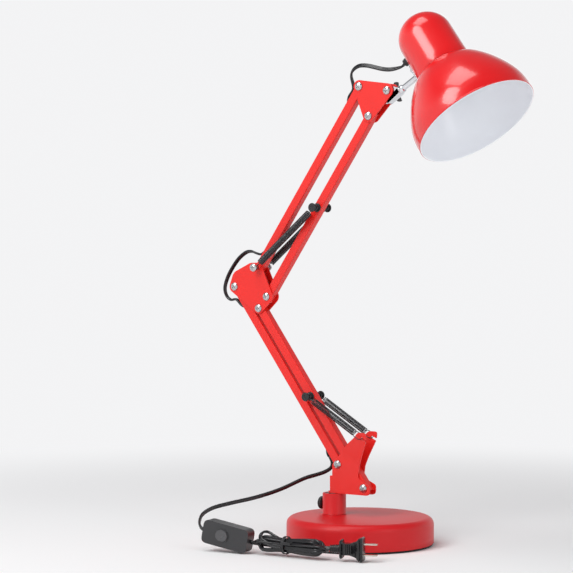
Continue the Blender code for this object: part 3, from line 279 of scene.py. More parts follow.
def frame_at(origin, z_axis, y_hint=(0.0, 1.0, 0.0)):
    """A placing matrix whose Z runs along z_axis and whose Y keeps near the hint."""
    z_axis = Vector(z_axis).normalized()
    x_axis = Vector(y_hint).cross(z_axis).normalized()
    y_axis = z_axis.cross(x_axis)
    turn = Matrix((x_axis, y_axis, z_axis)).transposed().to_4x4()
    return Matrix.Translation(origin) @ turn


def join(bm, other, matrix=None):
    """Add another bmesh to this one, placed by a matrix."""
    if matrix is not None:
        bmesh.ops.transform(other, matrix=matrix, verts=other.verts)
    mesh = bpy.data.meshes.new("join_scratch")
    other.to_mesh(mesh)
    other.free()
    bm.from_mesh(mesh)
    bpy.data.meshes.remove(mesh)
    return bm


BASE_RADIUS = 0.090
BASE_TOP = 0.034
BASE_FILLET = 0.009
COVER_FOOT = 0.0024

cover = [(0.0, BASE_TOP), (0.02, BASE_TOP), (0.06, BASE_TOP)]
cover += arc(BASE_RADIUS - BASE_FILLET, BASE_TOP - BASE_FILLET, BASE_FILLET, 90.0, 0.0, 12)
cover += [(BASE_RADIUS, 0.012), (BASE_RADIUS, COVER_FOOT + 0.0006), (BASE_RADIUS - 0.0004, COVER_FOOT),
          (BASE_RADIUS - 0.0011, COVER_FOOT), (BASE_RADIUS - 0.0014, 0.005)]
inner = arc(BASE_RADIUS - BASE_FILLET, BASE_TOP - BASE_FILLET, BASE_FILLET - 0.0013, 0.0, 90.0, 6)
cover += inner + [(0.0, BASE_TOP - 0.0013)]
hand_over("base_cover_shell", spun(cover, 128), SATIN_RED, "base", ["base_cover"], angle=40.0)
foot = [(0.0, 0.0), (0.0878, 0.0), (0.0885, 0.0006), (0.0885, 0.0019), (0.0, 0.0019)]
hand_over("base_rubber_foot", spun(foot, 96), RUBBER, "base", ["base_pad"])

TUBE_AXIS = PIVOT["base_swivel"].x
TUBE_FOOT, TUBE_TOP = BASE_TOP + 0.0003, 0.0600
TUBE_RADIUS = 0.0145
tube = [(0.0060, TUBE_TOP - 0.003), (0.0110, TUBE_TOP - 0.003), (0.0115, TUBE_TOP - 0.0004),
        (0.0119, TUBE_TOP), (TUBE_RADIUS - 0.0008, TUBE_TOP), (TUBE_RADIUS - 0.0002, TUBE_TOP - 0.0003),
        (TUBE_RADIUS, TUBE_TOP - 0.0010), (TUBE_RADIUS, TUBE_FOOT + 0.0007),
        (TUBE_RADIUS + 0.0004, TUBE_FOOT), (0.0060, TUBE_FOOT)]
hand_over("base_tube_shell", spun(tube, 64, closed=True), SATIN_RED, "base", ["base_tube"],
          matrix=Matrix.Translation((TUBE_AXIS, 0.0, 0.0)))

KNOB_RADIUS = 0.0078
knob_level = PIVOT["thumb_screw_turn"].z
knob = spun([(0.0, 0.0148), (0.0055, 0.0148), (0.0062, 0.0154), (KNOB_RADIUS - 0.0006, 0.0158),
             (KNOB_RADIUS, 0.0166), (KNOB_RADIUS, 0.0196), (KNOB_RADIUS - 0.0009, 0.0204),
             (0.0040, 0.0204), (0.0035, 0.0200), (0.0, 0.0200)], 72)
KNURLS = 24
for vert in knob.verts:
    around = math.atan2(vert.co.y, vert.co.x)
    if math.hypot(vert.co.x, vert.co.y) > KNOB_RADIUS - 0.0007:
        vert.co.xy *= 1.0 - 0.05 * (math.cos(KNURLS * around) < -0.2)
join(knob, spun([(0.0, 0.0064), (0.0024, 0.0064), (0.0024, 0.0150), (0.0, 0.0150)], 20))
hand_over("thumb_screw_knurled", knob, BLACK_NYLON, "thumb_screw", ["thumb_screw"],
          matrix=frame_at((TUBE_AXIS, 0.0, knob_level), (-1.0, 0.0, 0.0)))


# ---------------------------------------------------------------- fasteners
# Truss-head machine screws of zinc plated steel with a cross recess.  Each goes through both
# plates from the near side and is held by a lock nut on the far side.
ZINC = finish("zinc_plate", (0.62, 0.62, 0.63), 0.82, 0.3, 0.16, 0.12, patch=260.0, metallic=1.0)
# Near-black faces inside each cross recess: painted shade, since the recess is the same zinc as the head.
RECESS_PAINTED_SHADE = finish("screw_recess_painted_shade", (0.06, 0.06, 0.065), 0.8, 0.5, 0.1, 0.1, metallic=0.8)
HEAD_RADIUS = 0.0050
HEAD_HEIGHT = 0.0025
SHANK_RADIUS = 0.0020
CHEEK = 0.0078
FAR_WAY = frame_at((0.0, 0.0, 0.0), (0.0, 1.0, 0.0), (0.0, 0.0, 1.0))


def cross_recess(bm, level):
    """Sink a cross into the flat middle of a head that faces -Z at the given level; its faces take slot 1,
    a dark painted shade.
    """
    top = [face for face in bm.faces if all(vert.co.z < level + 0.00012 for vert in face.verts)
           and all(math.hypot(vert.co.x, vert.co.y) < 0.0027 for vert in face.verts)]
    arms = [face for face in top
            if abs(math.sin(2.0 * math.atan2(face.calc_center_median().y,
                                             face.calc_center_median().x))) < 0.50]
    sunk = bmesh.ops.extrude_face_region(bm, geom=arms)
    moved = [part for part in sunk["geom"] if isinstance(part, bmesh.types.BMVert)]
    bmesh.ops.translate(bm, verts=moved, vec=(0.0, 0.0, 0.0009))
    bmesh.ops.delete(bm, geom=arms, context="FACES")
    for vert in moved:
        vert.co.xy *= 0.82
    # The sunk faces take slot 1, the dark painted shade inside the recess.
    for part in sunk["geom"]:
        if isinstance(part, bmesh.types.BMFace):
            part.material_index = 1
    for face in {face for vert in moved for face in vert.link_faces}:
        face.material_index = 1


def pivot_screw(name, place, body, reach, replaced, turn=0.0):
    """A screw head on the near side, the shank through both plates and a lock nut on the far side."""
    head = [(0.0, -reach - HEAD_HEIGHT), (0.0024, -reach - HEAD_HEIGHT + 0.00006),
            (0.0034, -reach - HEAD_HEIGHT + 0.0004), (0.0043, -reach - HEAD_HEIGHT + 0.0010),
            (HEAD_RADIUS, -reach - 0.0007), (HEAD_RADIUS, -reach - 0.0002),
            (HEAD_RADIUS - 0.0002, -reach), (SHANK_RADIUS, -reach), (SHANK_RADIUS, reach + 0.0040),
            (SHANK_RADIUS - 0.0003, reach + 0.0044), (0.0, reach + 0.0044)]
    bm = spun(head, 48)
    bmesh.ops.remove_doubles(bm, verts=bm.verts, dist=1e-6)
    cross_recess(bm, -reach - HEAD_HEIGHT)
    nut = spun([(SHANK_RADIUS, reach), (0.0040, reach), (0.0040, reach + 0.0022),
                (0.0034, reach + 0.0031), (SHANK_RADIUS, reach + 0.0034)], 6, closed=True)
    join(bm, nut)
    spin = Matrix.Rotation(math.radians(turn), 4, "Z")
    hand_over(name, bm, ZINC, body, [replaced],
              matrix=Matrix.Translation(place) @ FAR_WAY @ spin, angle=32.0, second=RECESS_PAINTED_SHADE)


# ---------------------------------------------------------------- bracket
# One steel pressing: a round foot on the spindle, two cheeks that flare outwards above the
# pivots, and a finger at the top of each that the lower springs hook into.
BAR_RED = finish("bar_paint", (0.80, 0.016, 0.011), 0.95, 0.34, 0.06, 0.02, grain=600.0, coat=0.15,
                 coat_rough=0.2, specular=0.4)


def flat_piece(outline, holes, near, far):
    """A plate in X and Z with round holes, from Y near to Y far."""
    bm = bmesh.new()
    edges = []
    for loop in [outline] + holes:
        verts = [bm.verts.new((x, near, z)) for x, z in loop]
        edges += [bm.edges.new(pair) for pair in zip(verts, verts[1:] + verts[:1])]
    bmesh.ops.triangle_fill(bm, edges=edges, use_beauty=True)
    grown = bmesh.ops.extrude_face_region(bm, geom=bm.faces[:])
    moved = [part for part in grown["geom"] if isinstance(part, bmesh.types.BMVert)]
    bmesh.ops.translate(bm, verts=moved, vec=(0.0, far - near, 0.0))
    return bm


def round_hole(x, z, radius, steps=24):
    return arc(x, z, radius, 0.0, 360.0 * (steps - 1) / steps, steps - 1)


def rounded_corners(corners, steps=6):
    """An outline whose corners (x, z, radius) are turned into curves."""
    outline = []
    for index, (x, z, radius) in enumerate(corners):
        here = Vector((x, z))
        before = Vector(corners[index - 1][:2]) - here
        after = Vector(corners[(index + 1) % len(corners)][:2]) - here
        reach = radius / math.tan(before.angle(after) / 2.0)
        reach = min(reach, 0.48 * before.length, 0.48 * after.length)
        start, end = here + before.normalized() * reach, here + after.normalized() * reach
        for step in range(steps + 1):
            t = step / steps
            point = start * (1 - t) ** 2 + here * 2 * t * (1 - t) + end * t ** 2
            outline.append((point.x, point.y))
    return outline


SHEET = 0.0015
CHEEK_INNER = 0.0060
LOWER_REAR = PIVOT["lower_arm"]
LOWER_FRONT = PIVOT["lower_link"]
BRACKET_FLOOR = PIVOT["base_swivel"].z
HOOK = LOWER_REAR + Vector((37.9, 0.0, 34.3)) * MM
FLARE = math.tan(math.radians(9.0))
FLARE_LEAN = Vector((0.46, 0.0, 0.888)).normalized()
FLARE_START = Vector((LOWER_FRONT.x - 0.004, 0.0, LOWER_REAR.z))


def bracket_outline():
    """The cheek's outline in world millimetres, with the radius of each corner."""
    hx, hz = HOOK.x / MM, HOOK.z / MM
    fx, fz = LOWER_FRONT.x / MM, LOWER_FRONT.z / MM
    rx, rz = LOWER_REAR.x / MM, LOWER_REAR.z / MM
    floor_z = BRACKET_FLOOR / MM
    mouth, across = Vector((0.888, -0.459)), Vector((0.459, 0.888))
    notch = Vector((hx, hz))
    ends = [notch - across * 1.4 + mouth * 7.0, notch - across * 1.4 - mouth * 1.0,
            notch + across * 1.4 - mouth * 1.0, notch + across * 1.4 + mouth * 6.2]
    corners = [(rx - 11.2, floor_z, 0.5), (fx + 9.2, floor_z, 8.4), (fx + 9.2, fz + 3.5, 5.0),
               (fx - 8.2, rz - 15.5, 7.0), (fx - 6.0, rz - 1.0, 6.0), (hx - 2.6, hz - 23.5, 8.0)]
    corners += [(end.x, end.y, radius) for end, radius in zip(ends, (0.7, 1.2, 1.2, 0.8))]
    corners += [(hx + 6.6, hz + 6.8, 5.5), (hx - 5.4, hz + 6.8, 6.0), (hx - 12.6, hz - 0.8, 4.0),
                (rx + 15.0, rz + 25.7, 9.0), (rx - 7.8, rz - 0.2, 5.0), (rx - 7.8, rz - 14.3, 0.8),
                (rx - 11.2, rz - 14.3, 0.8)]
    return rounded_corners([(x * MM, z * MM, radius * MM) for x, z, radius in corners])


def cut_across(bm, place, way):
    """Cut every face that a plane crosses, and keep both halves."""
    bmesh.ops.bisect_plane(bm, geom=bm.verts[:] + bm.edges[:] + bm.faces[:], dist=1e-7,
                           plane_co=place, plane_no=way)


def cheek_plate(side):
    holes = [round_hole(p.x, p.z, 0.0023) for p in (LOWER_REAR, LOWER_FRONT)]
    bm = flat_piece(bracket_outline(), holes, side * CHEEK_INNER, side * (CHEEK_INNER + SHEET))
    for offset in (-0.003, 0.0, 0.003):
        cut_across(bm, FLARE_START + FLARE_LEAN * offset, FLARE_LEAN)
    for vert in bm.verts:
        beyond = (vert.co - FLARE_START).dot(FLARE_LEAN)
        eased = max(0.0, beyond) if abs(beyond) > 0.003 else (beyond + 0.003) ** 2 / 0.012
        vert.co.y += side * FLARE * eased
    return bm


bracket = join(cheek_plate(-1.0), cheek_plate(1.0))
tongue_end = TUBE_AXIS + 0.0185
tongue = arc(TUBE_AXIS, 0.0, 0.0074, 270.0, 90.0, 20) + [(tongue_end, 0.0074), (tongue_end, -0.0074)]
tongue_plate = flat_piece(tongue, [round_hole(TUBE_AXIS, 0.0, 0.0033)], 0.0, 0.0020)
join(bracket, tongue_plate, Matrix.Translation((0.0, 0.0, BRACKET_FLOOR))
     @ Matrix.Rotation(math.radians(90.0), 4, "X"))
hand_over("bracket_pressing", bracket, BAR_RED, "bracket", ["base_bracket"],
          soften=0.00028, angle=50.0)

spindle_base = BRACKET_FLOOR + 0.0023
spindle = spun([(0.0, 0.0385), (0.0055, 0.0385), (0.0060, 0.039), (0.0060, BRACKET_FLOOR - 0.0003),
                (0.0030, BRACKET_FLOOR - 0.0003), (0.0030, spindle_base), (0.0046, spindle_base),
                (0.0044, spindle_base + 0.0009), (0.0036, spindle_base + 0.0018),
                (0.0018, spindle_base + 0.0023), (0.0, spindle_base + 0.0024)], 40)
hand_over("spindle_riveted", spindle, ZINC, "bracket", ["spindle"],
          matrix=Matrix.Translation((TUBE_AXIS, 0.0, 0.0)))
pivot_screw("lower_rear_screw", LOWER_REAR, "bracket", CHEEK, "screw_lower_rear", 20.0)
pivot_screw("lower_front_screw", LOWER_FRONT, "bracket", CHEEK, "screw_lower_front", -15.0)


# ---------------------------------------------------------------- bars
# Four equal lengths of seamed square steel tube, open at both ends, painted like the base.  The
# rear pair carry the lead and have a long slot near each end for it.
BAR = 0.0110
BAR_WALL = 0.0010
BAR_TAIL = 0.0060
BAR_CORNER = 0.0012
ELBOW_REAR, ELBOW_TOP = PIVOT["elbow"], PIVOT["upper_arm"]
ELBOW_FRONT, HEAD_REAR = PIVOT["upper_link"], PIVOT["head_carrier"]
LOWER_LINE = (ELBOW_REAR - LOWER_REAR)
UPPER_LINE = (HEAD_REAR - ELBOW_TOP)
ARM = LOWER_LINE.length
LOWER_DIR, UPPER_DIR = LOWER_LINE.normalized(), UPPER_LINE.normalized()
SLOT_START, SLOT_END, SLOT_HALF = 0.010, 0.046, 0.0035


def square_bar(name, start, direction, body, replaced, slotted):
    """A square tube along its own X; its slotted face, where it has one, looks along its own +Z."""
    half, inner = BAR / 2.0, BAR / 2.0 - BAR_WALL
    outside = rounded_corners([(half, half, BAR_CORNER), (-half, half, BAR_CORNER),
                               (-half, -half, BAR_CORNER), (half, -half, BAR_CORNER)], 3)
    inside = rounded_corners([(inner, inner, 0.0006), (-inner, inner, 0.0006),
                              (-inner, -inner, 0.0006), (inner, -inner, 0.0006)], 3)
    bm = flat_piece(outside, [inside], -BAR_TAIL, ARM + BAR_TAIL)
    bmesh.ops.rotate(bm, verts=bm.verts, matrix=Matrix.Rotation(math.radians(-90.0), 3, "Z"))
    if slotted:
        for low, high in ((SLOT_START, SLOT_END), (ARM - SLOT_END, ARM - SLOT_START)):
            for level in (low, high):
                cut_across(bm, (level, 0, 0), (1, 0, 0))
        for level in (-SLOT_HALF, SLOT_HALF):
            cut_across(bm, (0, level, 0), (0, 1, 0))

        def in_slot(face):
            middle = face.calc_center_median()
            along = SLOT_START < middle.x < SLOT_END or ARM - SLOT_END < middle.x < ARM - SLOT_START
            return along and abs(middle.y) < SLOT_HALF and middle.z > 0.0 and abs(face.normal.z) > 0.9

        bm.normal_update()
        gone = [face for face in bm.faces if in_slot(face)]
        bmesh.ops.delete(bm, geom=gone, context="FACES")
        rims = [edge for edge in bm.edges if edge.is_boundary]
        bmesh.ops.bridge_loops(bm, edges=[e for e in rims if e.verts[0].co.x < ARM / 2.0])
        rims = [edge for edge in bm.edges if edge.is_boundary]
        bmesh.ops.bridge_loops(bm, edges=rims)
    along = frame_at(start, Vector((-direction.z, 0.0, direction.x)))
    return hand_over(name, bm, BAR_RED, body, [replaced], matrix=along, soften=0.0001,
                     angle=50.0, steps=1)


square_bar("lower_rear_tube", LOWER_REAR, LOWER_DIR, "lower_rear_bar", "lower_bar_rear", True)
square_bar("lower_front_tube", LOWER_FRONT, LOWER_DIR, "lower_front_bar", "lower_bar_front", False)
square_bar("upper_rear_tube", ELBOW_TOP, UPPER_DIR, "upper_rear_bar", "upper_bar_rear", True)
square_bar("upper_front_tube", ELBOW_FRONT, UPPER_DIR, "upper_front_bar", "upper_bar_front", False)


# ---------------------------------------------------------------- elbow and head plates
# Two pairs of stamped steel plates: four holes in the elbow's, three in the head's.  The longest
# elbow screw runs out on both sides to carry the upper springs.


def taut_outline(circles, steps=72):
    """The outline of a strap drawn tight round circles given as (x, z, radius)."""
    points = sorted({p for x, z, r in circles for p in round_hole(x, z, r, steps)})
    outline = []
    for ordered in (points, points[::-1]):
        run = []
        for p in ordered:
            while len(run) > 1 and ((run[-1][0] - run[-2][0]) * (p[1] - run[-2][1])
                                    <= (run[-1][1] - run[-2][1]) * (p[0] - run[-2][0])):
                run.pop()
            run.append(p)
        outline += run[:-1]
    return outline


TILT = PIVOT["head_tilt"]
ELBOW_LOW = ELBOW_REAR + (LOWER_FRONT - LOWER_REAR)
HEAD_LOW = HEAD_REAR + (ELBOW_FRONT - ELBOW_TOP)
SPRING_SIDE = 0.0124


def plate_pair(stem, circles, holes, body, replaced):
    loops = [round_hole(p.x, p.z, 0.0023) for p in holes]
    for side, word in ((-1.0, "near"), (1.0, "far")):
        bm = flat_piece(taut_outline(circles), loops, side * CHEEK_INNER, side * (CHEEK_INNER + SHEET))
        hand_over(stem + "_" + word, bm, BAR_RED, body, [replaced + "_" + word],
                  soften=0.00028, angle=50.0)


rear, top, front, low = ELBOW_REAR, ELBOW_TOP, ELBOW_FRONT, ELBOW_LOW
elbow_circles = [(rear.x, rear.z, 0.0078), (rear.x + 0.008, rear.z + 0.009, 0.0122),
                 (rear.x + 0.027, rear.z + 0.0205, 0.0098), (top.x, top.z, 0.0062),
                 (front.x, front.z, 0.0092), (low.x, low.z, 0.0070)]
plate_pair("elbow_plate_stamped", elbow_circles, (rear, top, front, low), "elbow", "elbow_plate")
head_circles = [(HEAD_REAR.x, HEAD_REAR.z, 0.0076), (TILT.x, TILT.z, 0.0086),
                (HEAD_LOW.x, HEAD_LOW.z, 0.0074)]
plate_pair("head_plate_stamped", head_circles, (HEAD_REAR, TILT, HEAD_LOW), "head", "head_plate")

pivot_screw("elbow_rear_screw", ELBOW_REAR, "elbow", CHEEK, "screw_elbow_rear", 35.0)
pivot_screw("elbow_low_screw", ELBOW_LOW, "elbow", CHEEK, "screw_elbow_low", 10.0)
pivot_screw("elbow_front_screw", ELBOW_FRONT, "elbow", CHEEK, "screw_elbow_front", -25.0)
pivot_screw("elbow_top_screw", ELBOW_TOP, "elbow", SPRING_SIDE + 0.0043, "screw_elbow_top", 5.0)
pivot_screw("head_rear_screw", HEAD_REAR, "head", CHEEK, "screw_head_rear", 40.0)
pivot_screw("head_low_screw", HEAD_LOW, "head", CHEEK, "screw_head_low", 0.0)


# ---------------------------------------------------------------- spools and springs
# Close-wound extension springs of blackened wire.  One end hooks on the bracket's finger or the
# long elbow screw, the other sits on a black spool pushed on the post through the front bar.
BLACK_STEEL = finish("black_spring_wire", (0.085, 0.085, 0.09), 0.7, 0.28, 0.1, 0.03, metallic=0.9)
POST_DISTANCE = 0.134
WIRE = 0.00050
COIL = 0.0043
LOWER_POST = LOWER_FRONT + LOWER_DIR * POST_DISTANCE
UPPER_POST = ELBOW_FRONT + UPPER_DIR * POST_DISTANCE


def spool_and_post(arm, post, body):
    length = SPRING_SIDE + 0.0042
    pin = spun([(0.0, -length), (SHANK_RADIUS, -length), (SHANK_RADIUS, length), (0.0, length)], 24)
    hand_over("spring_post_" + arm + "_pin", pin, ZINC, body, ["spring_post_" + arm],
              matrix=Matrix.Translation(post) @ FAR_WAY)
    flange, hub, outer, inner = 0.0055, 0.0032, SPRING_SIDE + 0.0059, 0.0058
    profile = [(0.0024, inner), (flange - 0.0004, inner), (flange, inner + 0.0004),
               (flange, inner + 0.0012), (flange - 0.0004, inner + 0.0016), (hub + 0.0003, inner + 0.0017),
               (hub, inner + 0.0022), (hub, outer - 0.0022), (hub + 0.0003, outer - 0.0017),
               (flange - 0.0004, outer - 0.0016), (flange, outer - 0.0012), (flange, outer - 0.0006),
               (flange - 0.0006, outer), (0.0022, outer), (0.0018, outer - 0.0005), (0.0, outer - 0.0005)]
    for side, word in ((-1.0, "near"), (1.0, "far")):
        way = FAR_WAY if side > 0.0 else FAR_WAY @ Matrix.Rotation(math.pi, 4, "X")
        hand_over("spool_" + arm + "_" + word + "_moulded", spun(profile, 40), BLACK_NYLON, body,
                  ["spool_" + arm + "_" + word], matrix=Matrix.Translation(post) @ way)


def wire_ring(standing):
    """One cross-section of spring wire, standing at a distance from the middle."""
    bm = bmesh.new()
    bmesh.ops.create_circle(bm, cap_ends=False, segments=6, radius=WIRE)
    bmesh.ops.rotate(bm, verts=bm.verts, matrix=Matrix.Rotation(math.radians(90.0), 3, "X"))
    bmesh.ops.translate(bm, verts=bm.verts, vec=(standing, 0.0, 0.0))
    return bm


def eye(bm, radius, stretch, centre, across_y):
    """A closed loop of wire round a pin; stretch lengthens it along the spring."""
    loop = wire_ring(radius)
    bmesh.ops.spin(loop, geom=loop.verts[:] + loop.edges[:], axis=(0, 0, 1), cent=(0, 0, 0),
                   angle=2.0 * math.pi, steps=28, use_merge=True)
    for vert in loop.verts:
        vert.co.y += math.copysign(stretch / 2.0, vert.co.y) if abs(vert.co.y) > 1e-5 else 0.0
    stand = Matrix.Rotation(math.radians(90.0), 4, "X")
    if across_y:
        stand = Matrix.Rotation(math.radians(55.0), 4, "Z") @ stand
    join(bm, loop, Matrix.Translation((0.0, 0.0, centre)) @ stand)


def wire_run(bm, start, end, offset):
    """A straight end of wire along the spring."""
    rod = bmesh.new()
    bmesh.ops.create_cone(rod, cap_ends=True, segments=6, radius1=WIRE, radius2=WIRE, depth=end - start)
    join(bm, rod, Matrix.Translation((offset, 0.0, (start + end) / 2.0)))


def spring(name, hook, post, side, replaced, hook_eye, coil_start, pitch):
    line = post - hook
    coil_end = line.length - 0.0103
    turns = round((coil_end - coil_start) / pitch)
    bm = wire_ring(COIL - WIRE)
    bmesh.ops.translate(bm, verts=bm.verts, vec=(0.0, 0.0, coil_start))
    steps = turns * 14
    bmesh.ops.spin(bm, geom=bm.verts[:] + bm.edges[:], axis=(0, 0, 1), cent=(0, 0, 0),
                   dvec=(0.0, 0.0, (coil_end - coil_start) / steps), angle=2.0 * math.pi * turns,
                   steps=steps, use_merge=False)
    bmesh.ops.holes_fill(bm, edges=[edge for edge in bm.edges if edge.is_boundary], sides=8)
    eye(bm, 0.0038, 0.0, line.length, False)
    wire_run(bm, coil_end - 0.0006, line.length - 0.0038, 0.0)
    if hook_eye == "finger":
        eye(bm, 0.0044, coil_start - 0.0078, coil_start / 2.0, True)
    else:
        eye(bm, 0.0028, 0.0, 0.0, False)
        wire_run(bm, 0.0028, coil_start + 0.0006, 0.0)
    across = Matrix.Translation(hook + Vector((0.0, side * SPRING_SIDE, 0.0)))
    piece = hand_over(name, bm, BLACK_STEEL, None, [replaced],
                      matrix=across @ frame_at((0, 0, 0), line), angle=80.0)
    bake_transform(piece)


spool_and_post("lower", LOWER_POST, "lower_front_bar")
spool_and_post("upper", UPPER_POST, "upper_front_bar")
for side, word in ((-1.0, "near"), (1.0, "far")):
    spring("lower_coil_" + word, HOOK, LOWER_POST, side,
           "spring_lower_" + word, "finger", 0.0125, 0.00150)
    spring("upper_coil_" + word, ELBOW_TOP, UPPER_POST, side,
           "spring_upper_" + word, "screw", 0.0098, 0.00112)


# ---------------------------------------------------------------- yoke, rod and wing nut
# A chromed clevis turns between the head plates on a bolt that the black wing nut pinches; the
# rod is riveted into its web and carries the shade.
CHROME = finish("chrome_plate", (0.78, 0.79, 0.82), 0.95, 0.12, 0.08, 0.03, patch=120.0, metallic=1.0)
ROD_DIR = Vector(next(j["axis"] for j in frame["record"]["behaviour"]["joints"]
                      if j["name"] == "head_swivel")).normalized()
ROD_FOOT = PIVOT["head_swivel"]
ROD_DROP = (ROD_FOOT - TILT).length
ROD_RADIUS = 0.0035
ROD_START = 0.0115
YOKE_HALF = CHEEK_INNER - 0.0003
ROD_ANGLE = math.atan2(ROD_DIR.z, ROD_DIR.x)
YOKE_TURN = Matrix.Translation(TILT) @ Matrix.Rotation(-ROD_ANGLE, 4, "Y")

yoke_outline = taut_outline([(0.0, 0.0, 0.0065), (-0.008, -ROD_DROP - 0.002, 0.003),
                             (ROD_START - 0.002, -ROD_DROP + 0.001, 0.0044)])
yoke = bmesh.new()
for near, far in ((-YOKE_HALF, -YOKE_HALF + SHEET), (YOKE_HALF - SHEET, YOKE_HALF)):
    join(yoke, flat_piece(yoke_outline, [round_hole(0.0, 0.0, 0.0023)], near, far))
web_low, web_high = -ROD_DROP - 0.0049, -ROD_DROP + 0.0030
web = [(-0.0090, web_low), (ROD_START + 0.001, web_low + 0.0006), (ROD_START + 0.001, web_high),
       (-0.0060, web_high - 0.003)]
join(yoke, flat_piece(rounded_corners([(x, z, 0.001) for x, z in web], 3), [], -YOKE_HALF, YOKE_HALF))
collar = spun([(0.0, ROD_START - 0.006), (0.0051, ROD_START - 0.006), (0.0051, ROD_START + 0.0052),
               (0.0046, ROD_START + 0.006), (0.0, ROD_START + 0.006)], 40)
join(yoke, collar, Matrix.Translation((0.0, 0.0, -ROD_DROP)) @ frame_at((0, 0, 0), (1, 0, 0)))
hand_over("head_clevis", yoke, CHROME, "yoke", ["head_yoke"], matrix=YOKE_TURN,
          soften=0.0003, angle=50.0)

shade_joint_reach = 0.0754
rod_end = shade_joint_reach - 0.0330
rod = spun([(0.0, ROD_START + 0.0004), (ROD_RADIUS, ROD_START + 0.0004), (ROD_RADIUS, rod_end + 0.002),
            (ROD_RADIUS + 0.0016, rod_end + 0.002), (ROD_RADIUS + 0.0016, rod_end + 0.004),
            (0.0, rod_end + 0.004)], 40)
hand_over("head_rod_polished", rod, CHROME, "yoke", ["head_rod"],
          matrix=frame_at(ROD_FOOT, ROD_DIR))

reach = CHEEK
washer_end = reach + 0.0026
bolt = spun([(0.0, -reach - HEAD_HEIGHT), (0.0024, -reach - HEAD_HEIGHT + 0.00006),
             (0.0034, -reach - HEAD_HEIGHT + 0.0004), (0.0043, -reach - 0.0015),
             (HEAD_RADIUS, -reach - 0.0007), (HEAD_RADIUS, -reach), (SHANK_RADIUS, -reach),
             (SHANK_RADIUS, reach), (0.0052, reach), (0.0052, reach + 0.0010), (0.0044, reach + 0.0011),
             (0.0044, washer_end), (SHANK_RADIUS, washer_end), (SHANK_RADIUS, 0.0204), (0.0016, 0.0208),
             (0.0, 0.0208)], 48)
bmesh.ops.remove_doubles(bolt, verts=bolt.verts, dist=1e-6)
cross_recess(bolt, -reach - HEAD_HEIGHT)
hand_over("tilt_bolt_cross_head", bolt, ZINC, "head", ["tilt_bolt"],
          matrix=Matrix.Translation(TILT) @ FAR_WAY, angle=32.0, second=RECESS_PAINTED_SHADE)

hub_start, hub_end = reach + 0.0030, reach + 0.0110
nut = spun([(0.0023, hub_start), (0.0050, hub_start), (0.0050, hub_start + 0.003),
            (0.0043, hub_end - 0.0005), (0.0038, hub_end), (0.0023, hub_end)], 40, closed=True)
wing_outline = rounded_corners([(0.0030, 0.0010, 0.001), (0.0120, 0.0040, 0.0035),
                                (0.0120, 0.0128, 0.0035), (0.0070, 0.0105, 0.002),
                                (0.0030, 0.0075, 0.001)])
for turn in (0.0, math.pi):
    wing = flat_piece(wing_outline, [], -0.0012, 0.0012)
    join(nut, wing, Matrix.Rotation(turn, 4, "Z") @ Matrix.Translation((0.0, 0.0, hub_start)))
wing_turn = Matrix.Rotation(math.radians(78.0), 4, "Y") @ Matrix.Rotation(math.radians(-90.0), 4, "X")
hand_over("wing_nut_moulded", nut, BLACK_NYLON, "wing_nut", ["wing_nut"],
          matrix=Matrix.Translation(TILT) @ wing_turn, soften=0.0005)


# ---------------------------------------------------------------- shade
# A spun bell with a rolled rim, enamelled red outside and white inside, under a drawn cap with a
# domed top.  A small steel clamp on the cap's side holds it on the rod.
ENAMEL = finish("red_enamel", (0.72, 0.006, 0.008), 0.94, 0.24, 0.05, 0.02, grain=350.0, coat=0.5,
                coat_rough=0.05)
WHITE_ENAMEL = finish("white_enamel", (0.92, 0.94, 0.98), 0.97, 0.3, 0.05, 0.05, grain=400.0, coat=0.3)
BRASS = finish("socket_brass", (0.72, 0.52, 0.24), 0.8, 0.3, 0.12, 0.08, patch=160.0, metallic=1.0)
PORCELAIN = finish("white_holder", (0.8, 0.8, 0.78), 0.96, 0.3, 0.05, 0.06)
SHADE_LEAN, SHADE_SWIVEL = math.radians(3.5), math.radians(-5.7)
SHADE_CENTRE = ROD_FOOT + ROD_DIR * shade_joint_reach
SHADE_TURN = (Matrix.Rotation(SHADE_SWIVEL, 4, ROD_DIR)
              @ Matrix.Rotation(-(ROD_ANGLE + SHADE_LEAN), 4, "Y"))
SHADE = Matrix.Translation(SHADE_CENTRE) @ SHADE_TURN
NECK, BELL_DEPTH, RIM_RADIUS = -0.0144, 0.0815, 0.0750
CAP_RADIUS, CAP_TOP = 0.0334, 0.0640
RIM = NECK - BELL_DEPTH

# Height above the rim and radius, in mm, up the outside of the bell
bell_curve = [(9.0, 75.0), (18.5, 74.0), (27.5, 71.6), (36.5, 68.0), (45.0, 63.8), (53.5, 59.0),
              (60.0, 54.8), (66.5, 50.0), (71.8, 45.6), (76.5, 40.6), (79.4, 37.2)]


def smooth_curve(points, parts):
    """A smooth curve through a few points, in this many parts between each two."""
    ends = [2 * points[0] - points[1]] + points + [2 * points[-1] - points[-2]]
    run = []
    for a, b, c, d in zip(ends, ends[1:], ends[2:], ends[3:]):
        for step in range(parts):
            t = step / parts
            run.append(0.5 * (2 * b + (c - a) * t + (2 * a - 5 * b + 4 * c - d) * t ** 2
                              + (3 * b - a - 3 * c + d) * t ** 3))
    return run + [points[-1]]


